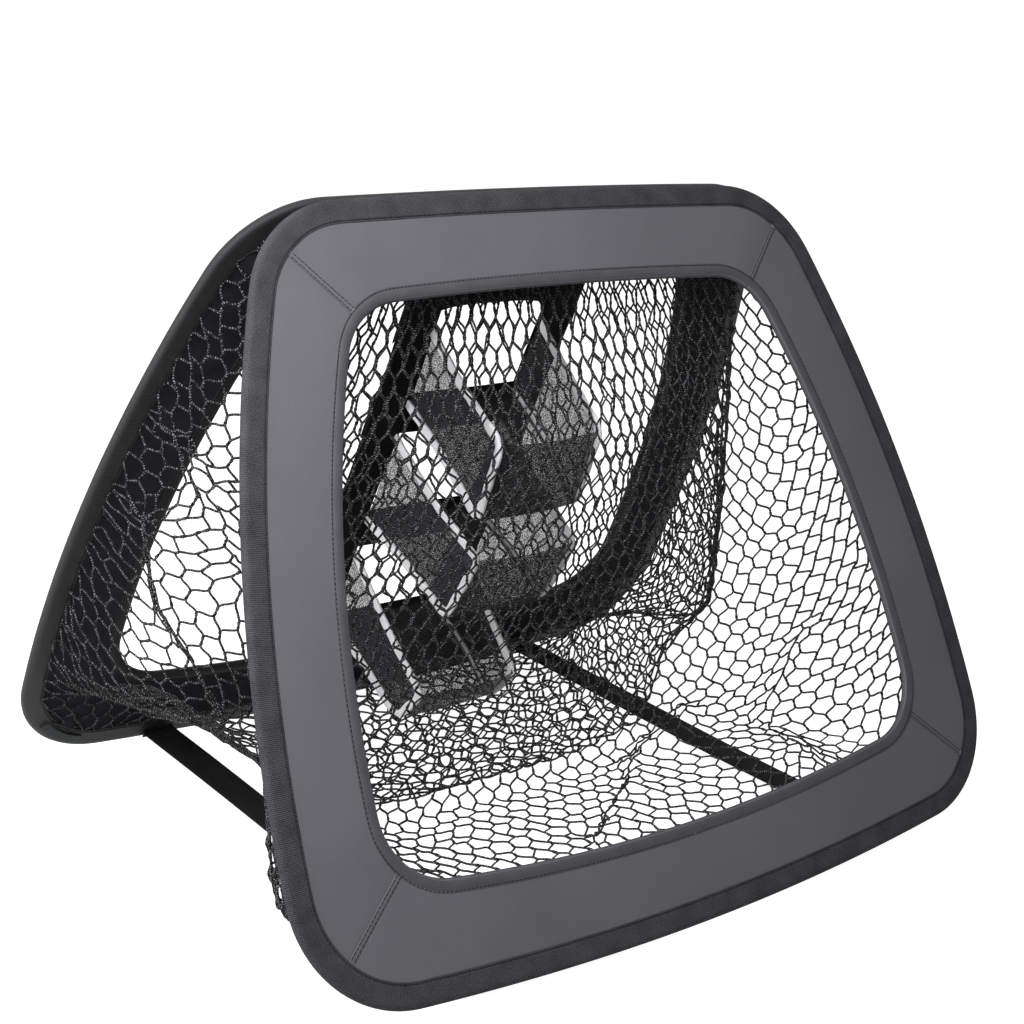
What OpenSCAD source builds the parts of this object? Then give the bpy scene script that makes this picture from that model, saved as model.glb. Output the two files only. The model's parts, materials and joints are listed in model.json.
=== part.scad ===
// Golf chipping net: two pop-up hoop panels hinged at the top, each with its own
// net bag, three mesh target pockets on the rear panel and two floor straps.
// X runs along the hinge, Y from the large-opening panel to the target panel,
// Z up, with the origin on the floor under the middle of the hinge.

/* [Panel outline] */
// Half width between the lower corners, before they are rounded
bottom_half = 300; // [260:1:340]
// Half width between the upper corners, before they are rounded
top_half = 220; // [200:1:250]
// Slant height between the upper and lower corners
panel_h = 477; // [440:1:520]
// Rise of the curved top edge
top_bow = 3.5; // [2:0.5:10]
// Bulge of each curved side edge
side_bow = 28; // [12:1:36]
// Drop of the curved bottom edge
bottom_bow = 20; // [10:1:30]
// Radius of the four corners
corner_r = 79; // [60:1:100]

/* [Opening] */
// Width of the frame at the middle of the top edge
frame_top = 66; // [58:1:78]
// Width of the frame at the middle of each side
frame_side = 66; // [56:1:76]
// Width of the frame at the middle of the bottom edge
frame_bottom = 64; // [54:1:74]
// Rise of the opening's top edge
open_top_bow = 7; // [3:1:14]
// Bulge of the opening's side edges
open_side_bow = 34; // [20:1:42]
// Drop of the opening's bottom edge
open_bottom_bow = 31; // [14:1:36]
// Radius of the opening's corners
open_r = 48; // [36:1:60]

/* [Stance] */
// Lean of each panel from upright
lean = 26; // [20:0.5:30]
// Gap between the hinge line and each panel's top edge
hinge_gap = 3; // [2.9:0.1:4.5]
// How much of each lowest edge is flattened against the floor
foot_flat = 2; // [1:0.1:2.2]

/* [Binding and wire] */
// Width of the folded webbing binding
bind_w = 16.4; // [14:0.2:20]
// Thickness of the bound edge
bind_t = 7; // [6.8:0.1:9]
// Wall of the folded webbing
bind_wall = 2.5; // [2.4:0.1:3]
// Thickness of the flat spring wire, across the rim
wire_t = 1.2; // [0.8:0.1:1.4]
// Width of the flat spring wire
wire_w = 3.6; // [3:0.1:3.8]
// Clearance round the spring wire inside the fold
wire_clear = 0.3; // [0.2:0.05:0.5]
// Length of the crimped sleeve that joins the wire's ends
sleeve_len = 30; // [20:1:40]
// Wall of the crimped sleeve
sleeve_wall = 0.5; // [0.4:0.1:0.6]

/* [Frame cloth] */
// Thickness of the leather-look bands
band_t = 1.9; // [1.5:0.1:2.2]
// Thickness of the cloth lining behind the bands
lining_t = 2.1; // [1.6:0.1:2.3]
// How far the bands are tucked into the binding
band_tuck = 8; // [6:0.5:9]
// Width of the folded trim round the opening
trim_w = 8.5; // [6:0.5:12]
// Wall of the folded trim
trim_wall = 0.8; // [0.6:0.1:1]
// How far the trim stands past the edge of the bands
trim_lip = 1.2; // [0.8:0.1:2]

/* [Target ladder] */
// Distance of each upright strip from the middle
leg_x = 62.5; // [56:0.5:72]
// Width of each upright strip
leg_w = 32; // [24:1:36]
// Thickness of the strips and crossbars
strip_t = 1.5; // [1:0.1:1.6]
// Height of the top crossbar
bar_top_w = 21; // [16:1:26]
// Height of the two middle crossbars
bar_w = 38; // [30:1:42]
// Height of the upper target opening
target_upper = 81; // [72:1:86]
// Height of the middle target opening
target_middle = 75; // [68:1:80]
// Height of the lower target opening
target_lower = 73; // [66:1:78]
// How far each upright strip laps the frame at its two ends
leg_lap = 12; // [9:1:20]

/* [Target pockets] */
// How far the pockets reach into the net
pocket_depth = 87; // [60:1:88]
// How much deeper the floor of a pocket reaches than its upper edge
pocket_lip = 8; // [2:1:16]
// How far a pocket hangs below its target opening
pocket_hang = 14; // [8:1:16]
// Drop of a pocket towards its far end
pocket_drop = 12; // [4:1:20]
// Thickness of the pocket mesh
pocket_t = 1.2; // [0.8:0.1:1.6]
// Half the width of the light piping along the pocket edges
piping_r = 1.8; // [1.2:0.1:2.4]

/* [Net bags] */
// Thickness of a net bag
bag_t = 1.5; // [1.2:0.1:2]
// Distance of a bag's rim from the panel's outer edge
bag_rim = 10; // [9.6:0.1:12]
// Distance over which a bag swells to its full depth
bag_swell = 32; // [24:1:44]
// Share of the free depth that the front bag fills
front_fill = 0.85; // [0.7:0.01:0.9]
// How much shallower a bag is at its sides than in its middle, as a share
bag_round = 0.75; // [0.5:0.01:0.8]
// Half the gap between the two bags
bag_gap = 5; // [4:0.5:8]
// Clearance of the bags above the floor
bag_floor = 4; // [3:0.5:6]
// Room that the bags leave over the straps
strap_room = 17; // [15:0.5:20]
// How far the rear bag's bulge reaches past the sides of the upper pocket
bulge_side = 62; // [50:1:70]
// Half the height of the rear bag's bulge
bulge_half_h = 52; // [44:1:60]
// Drop from the upper target opening's top edge to the middle of the bulge
bulge_drop = 52; // [44:1:60]
// Depth of a pocket at which the rear bag starts to bulge
bulge_start = 45; // [38:1:50]
// Openings across each net bag
net_columns = 12; // [8:1:12]
// Rows of openings down each net bag
net_rows = 12; // [8:1:12]
// Width of the strands between the openings
net_strand = 3.6; // [2.4:0.2:5]
// How much closer the openings are near the rim than in the middle
net_crowding = 0.03; // [0:0.01:0.06]

/* [Straps and loops] */
// Distance of each floor strap from the middle
strap_x = 181; // [160:1:190]
// Width of the floor straps
strap_w = 25; // [20:1:30]
// Thickness of the floor straps and their sewn tabs
strap_t = 1.6; // [1.2:0.1:2]
// Height of the floor straps above the floor
strap_z = 9.5; // [9:0.1:10.5]
// Height of the sewn tab at each end of a strap
tab_h = 7; // [6.4:0.1:7.2]
// Length of the folded peg tabs, as a turn of the corner in degrees
peg_turn = 36; // [26:1:44]
// Width of the folded peg tabs
peg_w = 7.4; // [6:0.1:8]
// Thickness of the folded peg tabs
peg_t = 3; // [2:0.1:4]
// Distance of the peg tabs from the panel's outer edge
peg_edge = 1; // [0.6:0.1:1.4]
// Radius of the sewn hinge roll
roll_r = 2.6; // [2.2:0.1:2.6]
// Length of the sewn hinge roll
roll_len = 300; // [200:5:340]

/* [Hidden] */
$fn = 48;
far = 1000;
bridge = 0.5;

// Panel space: x along the hinge, y up the slant with 0 at the hinge line,
// z out of the net, with 0 at the panel's inner face.
top_y = -hinge_gap - top_bow;
bottom_y = top_y - panel_h;
outline_bows = [top_bow, side_bow, bottom_bow];
open_bows = [open_top_bow, open_side_bow, open_bottom_bow];
open_insets = [
  frame_top + open_top_bow - top_bow,
  frame_side + open_side_bow - side_bow,
  frame_bottom + open_bottom_bow - bottom_bow
];
open_top_y = top_y + top_bow - frame_top;
open_bottom_y = bottom_y - bottom_bow + frame_bottom;

// Layers through the panel, from the inner face outwards
slot_t = band_t + lining_t;
slot_z = (bind_t - slot_t) / 2;
band_z = slot_z + lining_t;
trim_z = slot_z - trim_wall;
leg_z = trim_z - strip_t;
bar_z = leg_z + strip_t;

// The lowest point of the outline stands this far under the hinge
hinge_z = (hinge_gap + top_bow + panel_h + bottom_bow) * cos(lean) - foot_flat;

// Target ladder, from the top down
leg_inner = leg_x - leg_w / 2;
leg_outer = leg_x + leg_w / 2;
bar_top_y = open_top_y - trim_lip - bridge;
mouth_tops = [
  bar_top_y - bar_top_w,
  bar_top_y - bar_top_w - target_upper - bar_w,
  bar_top_y - bar_top_w - target_upper - target_middle - 2 * bar_w
];
mouth_bottoms = [
  mouth_tops[0] - target_upper,
  mouth_tops[1] - target_middle,
  mouth_tops[2] - target_lower
];
bar_bottom_end = open_bottom_y + trim_lip + bridge;

// ---------- outline made of arcs ----------

// Centre and radius of the arc from p to q that bulges by s to the right of the way there
function arc_through(p, q, s) =
  let (half = norm(q - p) / 2, r = (half * half + s * s) / (2 * s))
  let (out = [q[1] - p[1], p[0] - q[0]] / (2 * half))
  [(p + q) / 2 + out * (s - r), r];

// The right-hand meeting point of two circles
function meet(c1, r1, c2, r2) =
  let (d = norm(c2 - c1), a = (r1 * r1 - r2 * r2 + d * d) / (2 * d))
  let (h = sqrt(max(0, r1 * r1 - a * a)), along = (c2 - c1) / d)
  let (m = c1 + along * a, n = [-along[1], along[0]] * h)
  m[0] + n[0] > m[0] - n[0] ? m + n : m - n;

function turn(c, p) = atan2(p[1] - c[1], p[0] - c[0]);

function arc(c, r, from, to, steps) =
  [for (i = [1 : steps]) let (t = from + (to - from) * i / steps) c + r * [cos(t), sin(t)]];

// Closed outline of a panel or of its opening, moved in by inset
function outline(bows, insets, r, inset, fine) =
  let (tr = [top_half, top_y], br = [bottom_half, bottom_y])
  let (top = arc_through(tr, [-top_half, top_y], bows[0]), top_r = top[1] - insets[0] - inset)
  let (side = arc_through(br, tr, bows[1]), side_r = side[1] - insets[1] - inset)
  let (low = arc_through([-bottom_half, bottom_y], br, bows[2]), low_r = low[1] - insets[2] - inset)
  let (cr = r - inset)
  let (up = meet(top[0], top_r - cr, side[0], side_r - cr))
  let (dn = meet(low[0], low_r - cr, side[0], side_r - cr))
  let (half = concat(
    arc(low[0], low_r, -90, turn(low[0], dn), 4 * fine),
    arc(dn, cr, turn(low[0], dn), turn(side[0], dn), 4 * fine),
    arc(side[0], side_r, turn(side[0], dn), turn(side[0], up), 6 * fine),
    arc(up, cr, turn(side[0], up), turn(top[0], up), 4 * fine),
    arc(top[0], top_r, turn(top[0], up), 90, 3 * fine)
  ))
  let (n = len(half))
  concat([[0, low[0][1] - low_r]], half, [for (i = [2 : n]) [-half[n - i][0], half[n - i][1]]]);

function rim(inset, fine = 2) = outline(outline_bows, [0, 0, 0], corner_r, inset, fine);
function mouth(inset, fine = 2) = outline(open_bows, open_insets, open_r, inset, fine);

// ---------- placing ----------

module front_place() {
  translate([0, 0, hinge_z]) rotate([90 - lean, 0, 0]) children();
}

module rear_place() {
  mirror([0, 1, 0]) front_place() children();
}

module above_floor() {
  difference() {
    children();
    translate([-far / 2, -far / 2, -far / 4]) cube([far, far, far / 4]);
  }
}

module slab(z0, z1) {
  translate([0, 0, z0]) linear_extrude(z1 - z0) children();
}

module rim_ring(from, to) {
  difference() {
    polygon(rim(from));
    polygon(rim(to));
  }
}

// ---------- one panel's pieces, in panel space ----------

module binding() {
  color("#2b2b2e") difference() {
    slab(0, bind_t) rim_ring(0, bind_w);
    slab(slot_z, slot_z + slot_t) rim_ring(bind_wall, bind_w + 1);
  }
}

wire_in = bind_wall + sleeve_wall + wire_clear / 2;
wire_z = (bind_t - wire_w) / 2;

module spring_wire() {
  color("#9a9ca0") slab(wire_z, wire_z + wire_w) rim_ring(wire_in, wire_in + wire_t);
}

module wire_sleeve() {
  play = wire_clear / 6;
  color("#b9bbbf") intersection() {
    difference() {
      slab(slot_z + play, slot_z + slot_t - play) rim_ring(wire_in - sleeve_wall, wire_in + wire_t + sleeve_wall);
      slab(wire_z - play, wire_z + wire_w + play) rim_ring(wire_in - play, wire_in + wire_t + play);
    }
    translate([-sleeve_len / 2, bottom_y - far / 2, 0]) cube([sleeve_len, far / 2, bind_t]);
  }
}

// Corner lines where two bands meet: from the opening's corner out past the rim's corner
open_top_half = top_half - (frame_side + open_side_bow - side_bow);
open_bottom_half = bottom_half - (frame_side + open_side_bow - side_bow);
corners_in = [
  [open_top_half, top_y - open_insets[0]],
  [open_bottom_half, bottom_y + open_insets[2]]
];
past_corner = 1.6;
corners_out = [
  corners_in[0] + past_corner * ([top_half, top_y] - corners_in[0]),
  corners_in[1] + past_corner * ([bottom_half, bottom_y] - corners_in[1])
];
function flip(p) = [-p[0], p[1]];

module top_wedge() {
  polygon([corners_in[0], corners_out[0], [corners_out[0][0], far], [-corners_out[0][0], far],
    flip(corners_out[0]), flip(corners_in[0])]);
}

module bottom_wedge() {
  polygon([corners_in[1], corners_out[1], [corners_out[1][0], -far], [-corners_out[1][0], -far],
    flip(corners_out[1]), flip(corners_in[1])]);
}

module right_wedge() {
  polygon([corners_in[0], corners_out[0], [far, corners_out[0][1]], [far, corners_out[1][1]],
    corners_out[1], corners_in[1]]);
}

module left_wedge() {
  mirror([1, 0]) right_wedge();
}

module band() {
  color("#6c6e72") slab(band_z, band_z + band_t) intersection() {
    difference() {
      polygon(rim(band_tuck));
      polygon(mouth(0));
    }
    children();
  }
}

module lining() {
  color("#18181a") slab(slot_z, slot_z + lining_t) difference() {
    polygon(rim(band_tuck));
    polygon(mouth(0));
  }
}

module inner_trim() {
  color("#4a4b4f") difference() {
    slab(trim_z, slot_z + slot_t + trim_wall) difference() {
      polygon(mouth(-trim_w));
      polygon(mouth(trim_lip));
    }
    slab(slot_z, slot_z + slot_t) difference() {
      polygon(mouth(-trim_w - 1));
      polygon(mouth(0));
    }
  }
}

// ---------- target ladder ----------

module target_leg(side) {
  x0 = side < 0 ? -leg_outer : leg_inner;
  y0 = open_bottom_y - leg_lap;
  color("#1c1c1f") translate([x0, y0, leg_z]) cube([leg_w, open_top_y + leg_lap - y0, strip_t]);
}

module target_bar(y_top, y_low) {
  color("#202023") slab(bar_z, bar_z + strip_t) intersection() {
    translate([-leg_outer, y_low]) square([2 * leg_outer, y_top - y_low]);
    polygon(mouth(trim_lip + bridge));
  }
}

// ---------- target pockets ----------

// Side view of a pocket in [y, z]: mouth foot, far foot, far top, mouth top
function pocket_side(i) =
  let (foot = mouth_bottoms[i] - pocket_hang, top = mouth_tops[i] - pocket_hang)
  [
    [foot, leg_z],
    [foot - pocket_drop, leg_z - pocket_depth],
    [top - pocket_drop, leg_z - pocket_depth + pocket_lip],
    [top, leg_z]
  ];

pocket_half = leg_inner + pocket_t + bridge / 2;

module pocket_prism(points, half) {
  translate([-half, 0, 0]) rotate([90, 0, 90]) linear_extrude(2 * half) polygon(points);
}

module pocket(i) {
  p = pocket_side(i);
  inside = [
    p[0] + [pocket_t, 1],
    p[1] + [pocket_t, pocket_t],
    p[2] + [far / 4, pocket_t],
    p[3] + [far / 4, 1]
  ];
  color("#26262a") difference() {
    pocket_prism(p, pocket_half);
    pocket_prism(inside, pocket_half - pocket_t);
  }
}

// The polygon moved outwards by d on every side
function unit(v) = v / norm(v);
function right_of(v) = [v[1], -v[0]];
function grown(points, d) = [
  for (i = [0 : len(points) - 1])
    let (n = len(points), here = points[i])
    let (a = right_of(unit(here - points[(i + n - 1) % n])), b = right_of(unit(points[(i + 1) % n] - here)))
    here + d * (a + b) / (1 + a * b)
];

// The piping runs round the far end of each side wall and stops at the target strips
module pocket_piping(i) {
  p = pocket_side(i);
  past = 4 * piping_r;
  loop = [p[0] + past * unit(p[0] - p[1]), p[1], p[2], p[3] + past * unit(p[3] - p[2])];
  color("#d6d7d8") for (side = [0, 1]) mirror([side, 0, 0])
    translate([pocket_half, 0, 0]) rotate([90, 0, 90]) linear_extrude(2 * piping_r) intersection() {
      difference() {
        polygon(grown(loop, piping_r));
        polygon(grown(loop, -piping_r));
      }
      translate([-far, leg_z - far]) square([2 * far, far]);
    }
}

// ---------- net bags ----------

// How far the bag has to stand clear over the straps and the floor at x
strap_margin = 20;
function floor_clear(x) = bag_floor + strap_room * exp(-pow((abs(x) - strap_x) / (strap_w + strap_margin), 2));

// The rear bag bulges past the middle round the upper pocket, and the front bag gives
// way to it, at the place where that bulge stands over the front panel
bulge_half_w = pocket_half + bulge_side;
bulge_y = mouth_tops[0] - bulge_drop;
bulge_depth = pocket_depth - bulge_start;
dent_margin = 16;
function bulge_at(x, y, half_h) = exp(-pow(x / bulge_half_w, 4)) * exp(-pow((y - bulge_y) / half_h, 4));
function pocket_bulge(x, y, side) =
  side > 0
  ? bulge_depth * bulge_at(x, y, bulge_half_h)
  : -(bulge_depth * cos(2 * lean) + 2 * bag_gap)
    * bulge_at(x, y + bulge_depth * sin(2 * lean), bulge_half_h + dent_margin);

// A bag is shallower towards its two sides
function rounding(x) = 1 - bag_round * pow(x / bottom_half, 2);

// Free depth from the panel's inner face to the middle of the net and to the floor
function free_depth(x, y, side) =
  let (middle = -y * tan(lean) - bag_gap + pocket_bulge(x, y, side))
  let (ground = (hinge_z + y * cos(lean) - floor_clear(x)) / sin(lean))
  max(bag_t, min(middle * rounding(x), ground));

// Distance from p to a closed line
function off_segment(p, a, b) =
  let (t = (p - a) * (b - a) / ((b - a) * (b - a)))
  norm(p - a - max(0, min(1, t)) * (b - a));
function off_line(p, line) =
  min([for (i = [0 : len(line) - 1]) off_segment(p, line[i], line[(i + 1) % len(line)])]);

function bag_depth(p, line, side, fill) =
  free_depth(p[0], p[1], side) * fill * (1 - exp(-off_line(p, line) / bag_swell));

// The point at share t of a line's length
function marks(line) = [
  for (i = 0, s = 0; i < len(line); s = s + (i + 1 < len(line) ? norm(line[i + 1] - line[i]) : 0), i = i + 1) s
];
function point_at(line, t) =
  let (s = marks(line), want = t * s[len(s) - 1])
  let (k = max([for (i = [0 : len(s) - 2]) s[i] <= want ? i : 0]))
  line[k] + (line[k + 1] - line[k]) * (want - s[k]) / (s[k + 1] - s[k]);

// The rim's four sides meet in the middle of its rounded corners
net_fine = 2;
function stretch(line, from, to) = [
  for (i = [0 : abs(to - from) * net_fine]) line[(from * net_fine + i * sign(to - from)) % len(line)]
];

// The net's knots, in rows from the top down, as points of the flat panel. Knots next to
// each other in a row stand a little higher and lower in turn, so the openings have six sides
function crowded(t) = t - net_crowding * sin(360 * t);
function zigzag(r, k) =
  r == 0 || r == net_rows ? 0 : ((k + r) % 2 == 0 ? 1 : -1) / (6 * net_rows);
function knots(line) =
  let (top = stretch(line, 26, 16), low = stretch(line, 36, 48))
  let (left = stretch(line, 26, 36), right = stretch(line, 16, 6))
  let (tl = top[0], tr = right[0], bl = low[0], br = low[len(low) - 1])
  [
    for (r = [0 : net_rows], k = [0 : 2 * net_columns])
      let (u = crowded(k / (2 * net_columns)), v = crowded(r / net_rows + zigzag(r, k)))
      (1 - v) * (point_at(top, u) - (1 - u) * tl - u * tr) + v * (point_at(low, u) - (1 - u) * bl - u * br)
        + (1 - u) * point_at(left, v) + u * point_at(right, v)
  ];
function at_rim(i) =
  let (k = i % (2 * net_columns + 1), r = floor(i / (2 * net_columns + 1)))
  r == 0 || r == net_rows || k == 0 || k == 2 * net_columns;

// Each opening as the numbers of the knots round it
function openings() =
  let (n = 2 * net_columns)
  [
    for (r = [0 : net_rows - 1], c = [0 : net_columns - 1 + r % 2])
      let (k0 = max(0, 2 * c - r % 2), k2 = min(n, 2 * c + 2 - r % 2))
      [for (k = [k0 : k2]) (r + 1) * (n + 1) + k, for (k = [k2 : -1 : k0]) r * (n + 1) + k]
  ];

// The strands are four-sided bars with an edge outwards, an edge inwards and an edge
// along each opening
module net_bag(side, fill) {
  outer_rim = rim(bag_rim, net_fine);
  inner_rim = rim(bag_rim + bag_t, net_fine);
  outer = knots(outer_rim);
  inner = knots(inner_rim);
  count = len(outer);
  cells = openings();
  starts = [for (i = 0, s = 2 * count; i < len(cells); s = s + len(cells[i]), i = i + 1) s];
  points = concat(
    [for (i = [0 : count - 1]) [outer[i][0], outer[i][1],
      at_rim(i) ? 0 : -bag_t - bag_depth(outer[i], outer_rim, side, fill)]],
    [for (i = [0 : count - 1]) [inner[i][0], inner[i][1],
      at_rim(i) ? 0 : -bag_depth(inner[i], inner_rim, side, fill)]],
    [for (cell = cells, p = grown([for (i = cell) (outer[i] + inner[i]) / 2], -net_strand / 2))
      [p[0], p[1], -bag_t / 2 - bag_depth(p, outer_rim, side, fill)]]
  );
  strands = [
    for (c = [0 : len(cells) - 1])
      let (cell = cells[c], n = len(cell))
      for (i = [0 : n - 1])
        let (a = cell[i], b = cell[(i + 1) % n], p = starts[c] + i, q = starts[c] + (i + 1) % n)
        each [[a, b, q], [a, q, p], [q, b + count, a + count], [p, q, a + count]]
  ];
  lip = [
    for (cell = cells)
      let (n = len(cell))
      for (i = [0 : n - 1])
        let (a = cell[i], b = cell[(i + 1) % n])
        if (rim_edge(a, b)) each [[b, a, a + count], [b, a + count, b + count]]
  ];
  color("#1d1d20") polyhedron(points, concat(strands, lip), convexity = 12);
}

// Whether the way from one knot to the next runs along the rim
function rim_edge(a, b) =
  let (n = 2 * net_columns + 1, ra = floor(a / n), rb = floor(b / n), ka = a % n, kb = b % n)
  ra == rb ? ra == 0 || ra == net_rows : ka == kb && (ka == 0 || ka == n - 1);

// ---------- straps, tabs and hinge roll ----------

// Slant position of the straps on the inner face
strap_y = -(hinge_z - strap_z) / cos(lean);
strap_end = -strap_y * sin(lean) - strap_t / cos(lean) - strap_t / 2 * tan(lean);

module strap_tabs() {
  color("#1a1a1c") for (side = [-1, 1]) intersection() {
    translate([side * strap_x - strap_w / 2, strap_y - tab_h / 2, -strap_t]) cube([strap_w, tab_h, strap_t]);
    slab(-strap_t, 0) polygon(rim(bridge));
  }
}

// The peg tabs follow the lower corners, midway round their turn
peg_mid = -50;
function lower_corner() =
  let (side = arc_through([bottom_half, bottom_y], [top_half, top_y], side_bow))
  let (low = arc_through([-bottom_half, bottom_y], [bottom_half, bottom_y], bottom_bow))
  meet(low[0], low[1] - corner_r, side[0], side[1] - corner_r);

module peg_tabs() {
  c = lower_corner();
  reach = 2 * corner_r;
  sweep = [c, c + reach * [cos(peg_mid - peg_turn / 2), sin(peg_mid - peg_turn / 2)],
    c + reach * [cos(peg_mid + peg_turn / 2), sin(peg_mid + peg_turn / 2)]];
  color("#22282a") for (side = [0, 1]) mirror([side, 0, 0]) slab(-peg_t, 0) intersection() {
    rim_ring(peg_edge, peg_edge + peg_w);
    polygon(sweep);
  }
}

module strap(side) {
  color("#19191b") translate([side * strap_x - strap_w / 2, -strap_end, strap_z - strap_t / 2])
    cube([strap_w, 2 * strap_end, strap_t]);
}

module hinge_roll() {
  color("#242427") translate([-roll_len / 2, 0, hinge_z]) rotate([0, 90, 0]) cylinder(r = roll_r, h = roll_len);
}

// ---------- named nodes ----------

front_place() spring_wire();  // front_spring_wire
front_place() wire_sleeve();  // front_wire_sleeve
above_floor() front_place() binding();  // front_binding
front_place() band() top_wedge();  // front_band_top
front_place() band() bottom_wedge();  // front_band_bottom
front_place() band() left_wedge();  // front_band_left
front_place() band() right_wedge();  // front_band_right
front_place() lining();  // front_lining
front_place() inner_trim();  // front_inner_trim
front_place() net_bag(-1, front_fill);  // front_net_bag
front_place() strap_tabs();  // front_strap_tabs
front_place() peg_tabs();  // front_peg_tabs
hinge_roll();
rear_place() spring_wire();  // rear_spring_wire
rear_place() wire_sleeve();  // rear_wire_sleeve
above_floor() rear_place() binding();  // rear_binding
rear_place() band() top_wedge();  // rear_band_top
rear_place() band() bottom_wedge();  // rear_band_bottom
rear_place() band() left_wedge();  // rear_band_left
rear_place() band() right_wedge();  // rear_band_right
rear_place() lining();  // rear_lining
rear_place() inner_trim();  // rear_inner_trim
rear_place() target_leg(-1);  // target_leg_left
rear_place() target_leg(1);  // target_leg_right
rear_place() target_bar(bar_top_y, mouth_tops[0]);  // target_bar_top
rear_place() target_bar(mouth_bottoms[0], mouth_tops[1]);  // target_bar_upper
rear_place() target_bar(mouth_bottoms[1], mouth_tops[2]);  // target_bar_lower
rear_place() target_bar(mouth_bottoms[2], bar_bottom_end);  // target_bar_bottom
rear_place() pocket(0);  // pocket_upper
rear_place() pocket(1);  // pocket_middle
rear_place() pocket(2);  // pocket_lower
rear_place() pocket_piping(0);  // pocket_piping_upper
rear_place() pocket_piping(1);  // pocket_piping_middle
rear_place() pocket_piping(2);  // pocket_piping_lower
rear_place() net_bag(1, 1);  // rear_net_bag
rear_place() strap_tabs();  // rear_strap_tabs
rear_place() peg_tabs();  // rear_peg_tabs
strap(-1);  // strap_left
strap(1);  // strap_right
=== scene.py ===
import json
import math

import bpy
import numpy as np
from mathutils import Matrix, Vector

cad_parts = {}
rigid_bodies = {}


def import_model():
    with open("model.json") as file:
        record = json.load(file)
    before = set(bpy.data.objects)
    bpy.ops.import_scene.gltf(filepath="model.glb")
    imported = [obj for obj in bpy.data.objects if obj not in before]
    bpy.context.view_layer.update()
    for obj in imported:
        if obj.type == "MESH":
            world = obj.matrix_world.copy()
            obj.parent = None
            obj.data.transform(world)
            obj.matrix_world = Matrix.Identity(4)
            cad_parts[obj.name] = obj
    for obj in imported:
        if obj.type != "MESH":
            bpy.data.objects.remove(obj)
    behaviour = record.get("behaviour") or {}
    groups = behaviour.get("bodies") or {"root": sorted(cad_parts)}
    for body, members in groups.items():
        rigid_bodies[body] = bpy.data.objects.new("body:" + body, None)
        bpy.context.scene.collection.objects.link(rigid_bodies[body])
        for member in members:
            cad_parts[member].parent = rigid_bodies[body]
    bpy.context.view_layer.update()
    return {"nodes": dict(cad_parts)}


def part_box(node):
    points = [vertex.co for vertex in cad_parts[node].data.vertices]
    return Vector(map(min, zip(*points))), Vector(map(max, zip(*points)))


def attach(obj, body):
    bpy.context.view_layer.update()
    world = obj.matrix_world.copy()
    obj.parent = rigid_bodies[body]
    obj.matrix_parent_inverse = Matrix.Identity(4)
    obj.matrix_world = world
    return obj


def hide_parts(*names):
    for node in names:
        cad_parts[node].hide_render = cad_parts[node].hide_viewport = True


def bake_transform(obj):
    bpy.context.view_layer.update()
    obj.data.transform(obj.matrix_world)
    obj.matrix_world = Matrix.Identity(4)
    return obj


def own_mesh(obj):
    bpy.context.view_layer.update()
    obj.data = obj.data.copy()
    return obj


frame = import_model()
bpy.context.scene.view_settings.view_transform = "Standard"
print("frame:", len(frame["nodes"]), "nodes")

# Everything is in metres. Panel space has x along the hinge, y up the slant with 0 at
# the hinge line, and z out of the net with 0 at the panel's inner face. Sizes in threes
# go from the top over the sides to the bottom, and side is -1 in front and 1 at the rear.
panel = {
    "bottomHalf": 0.300, "topHalf": 0.220, "height": 0.477, "corner": 0.079,
    "bows": (0.0035, 0.028, 0.020), "hingeGap": 0.003, "lean": math.radians(26),
    "thick": 0.007, "slotLow": 0.0015, "slotHigh": 0.0055, "liningTop": 0.0036,
}
window = {"frame": (0.066, 0.066, 0.064), "bows": (0.007, 0.034, 0.031), "corner": 0.048}
topY = -panel["hingeGap"] - panel["bows"][0]
bottomY = topY - panel["height"]
windowTop = topY + panel["bows"][0] - window["frame"][0]
windowBottom = bottomY - panel["bows"][2] + window["frame"][2]
windowInsets = [f + b - p for f, b, p in zip(window["frame"], window["bows"], panel["bows"])]
topRight = np.array([panel["topHalf"], topY])
lowRight = np.array([panel["bottomHalf"], bottomY])
rollLow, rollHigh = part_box("hinge_roll")
hingeZ = (rollLow.z + rollHigh.z) / 2
leanSin, leanCos = math.sin(panel["lean"]), math.cos(panel["lean"])
bodyOf = {-1: "root", 1: "target_panel"}
sideName = {-1: "front", 1: "rear"}
leftRight = (("left", -1), ("right", 1))

shot = {
    "place": (-0.7526, -0.9309, 0.5764), "azimuth": -38.618, "elevation": 16.63,
    "roll": 2.984, "lens": 61.1, "sensor": 36.0,
}


def addCamera():
    az, el, roll = (math.radians(shot[k]) for k in ("azimuth", "elevation", "roll"))
    back = Vector((math.sin(az) * math.cos(el), -math.cos(az) * math.cos(el), math.sin(el)))
    right = (-back).cross(Vector((0, 0, 1))).normalized()
    up = right.cross(-back)
    tiltedRight = right * math.cos(roll) + up * math.sin(roll)
    tiltedUp = up * math.cos(roll) - right * math.sin(roll)
    data = bpy.data.cameras.new("camera")
    data.lens, data.sensor_width = shot["lens"], shot["sensor"]
    camera = bpy.data.objects.new("camera", data)
    turn = Matrix((tiltedRight, tiltedUp, back)).transposed().to_4x4()
    camera.matrix_world = Matrix.Translation(Vector(shot["place"])) @ turn
    bpy.context.scene.collection.objects.link(camera)
    bpy.context.scene.camera = camera


addCamera()
print("camera set")


def flip(points):
    return points * np.array([-1, 1])


# Centre and radius of the arc from p to q that stands out by bow in its middle
def arcThrough(p, q, bow):
    half = np.linalg.norm(q - p) / 2
    radius = (half * half + bow * bow) / (2 * bow)
    out = np.array([q[1] - p[1], p[0] - q[0]]) / (2 * half)
    return (p + q) / 2 + out * (bow - radius), radius


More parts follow.
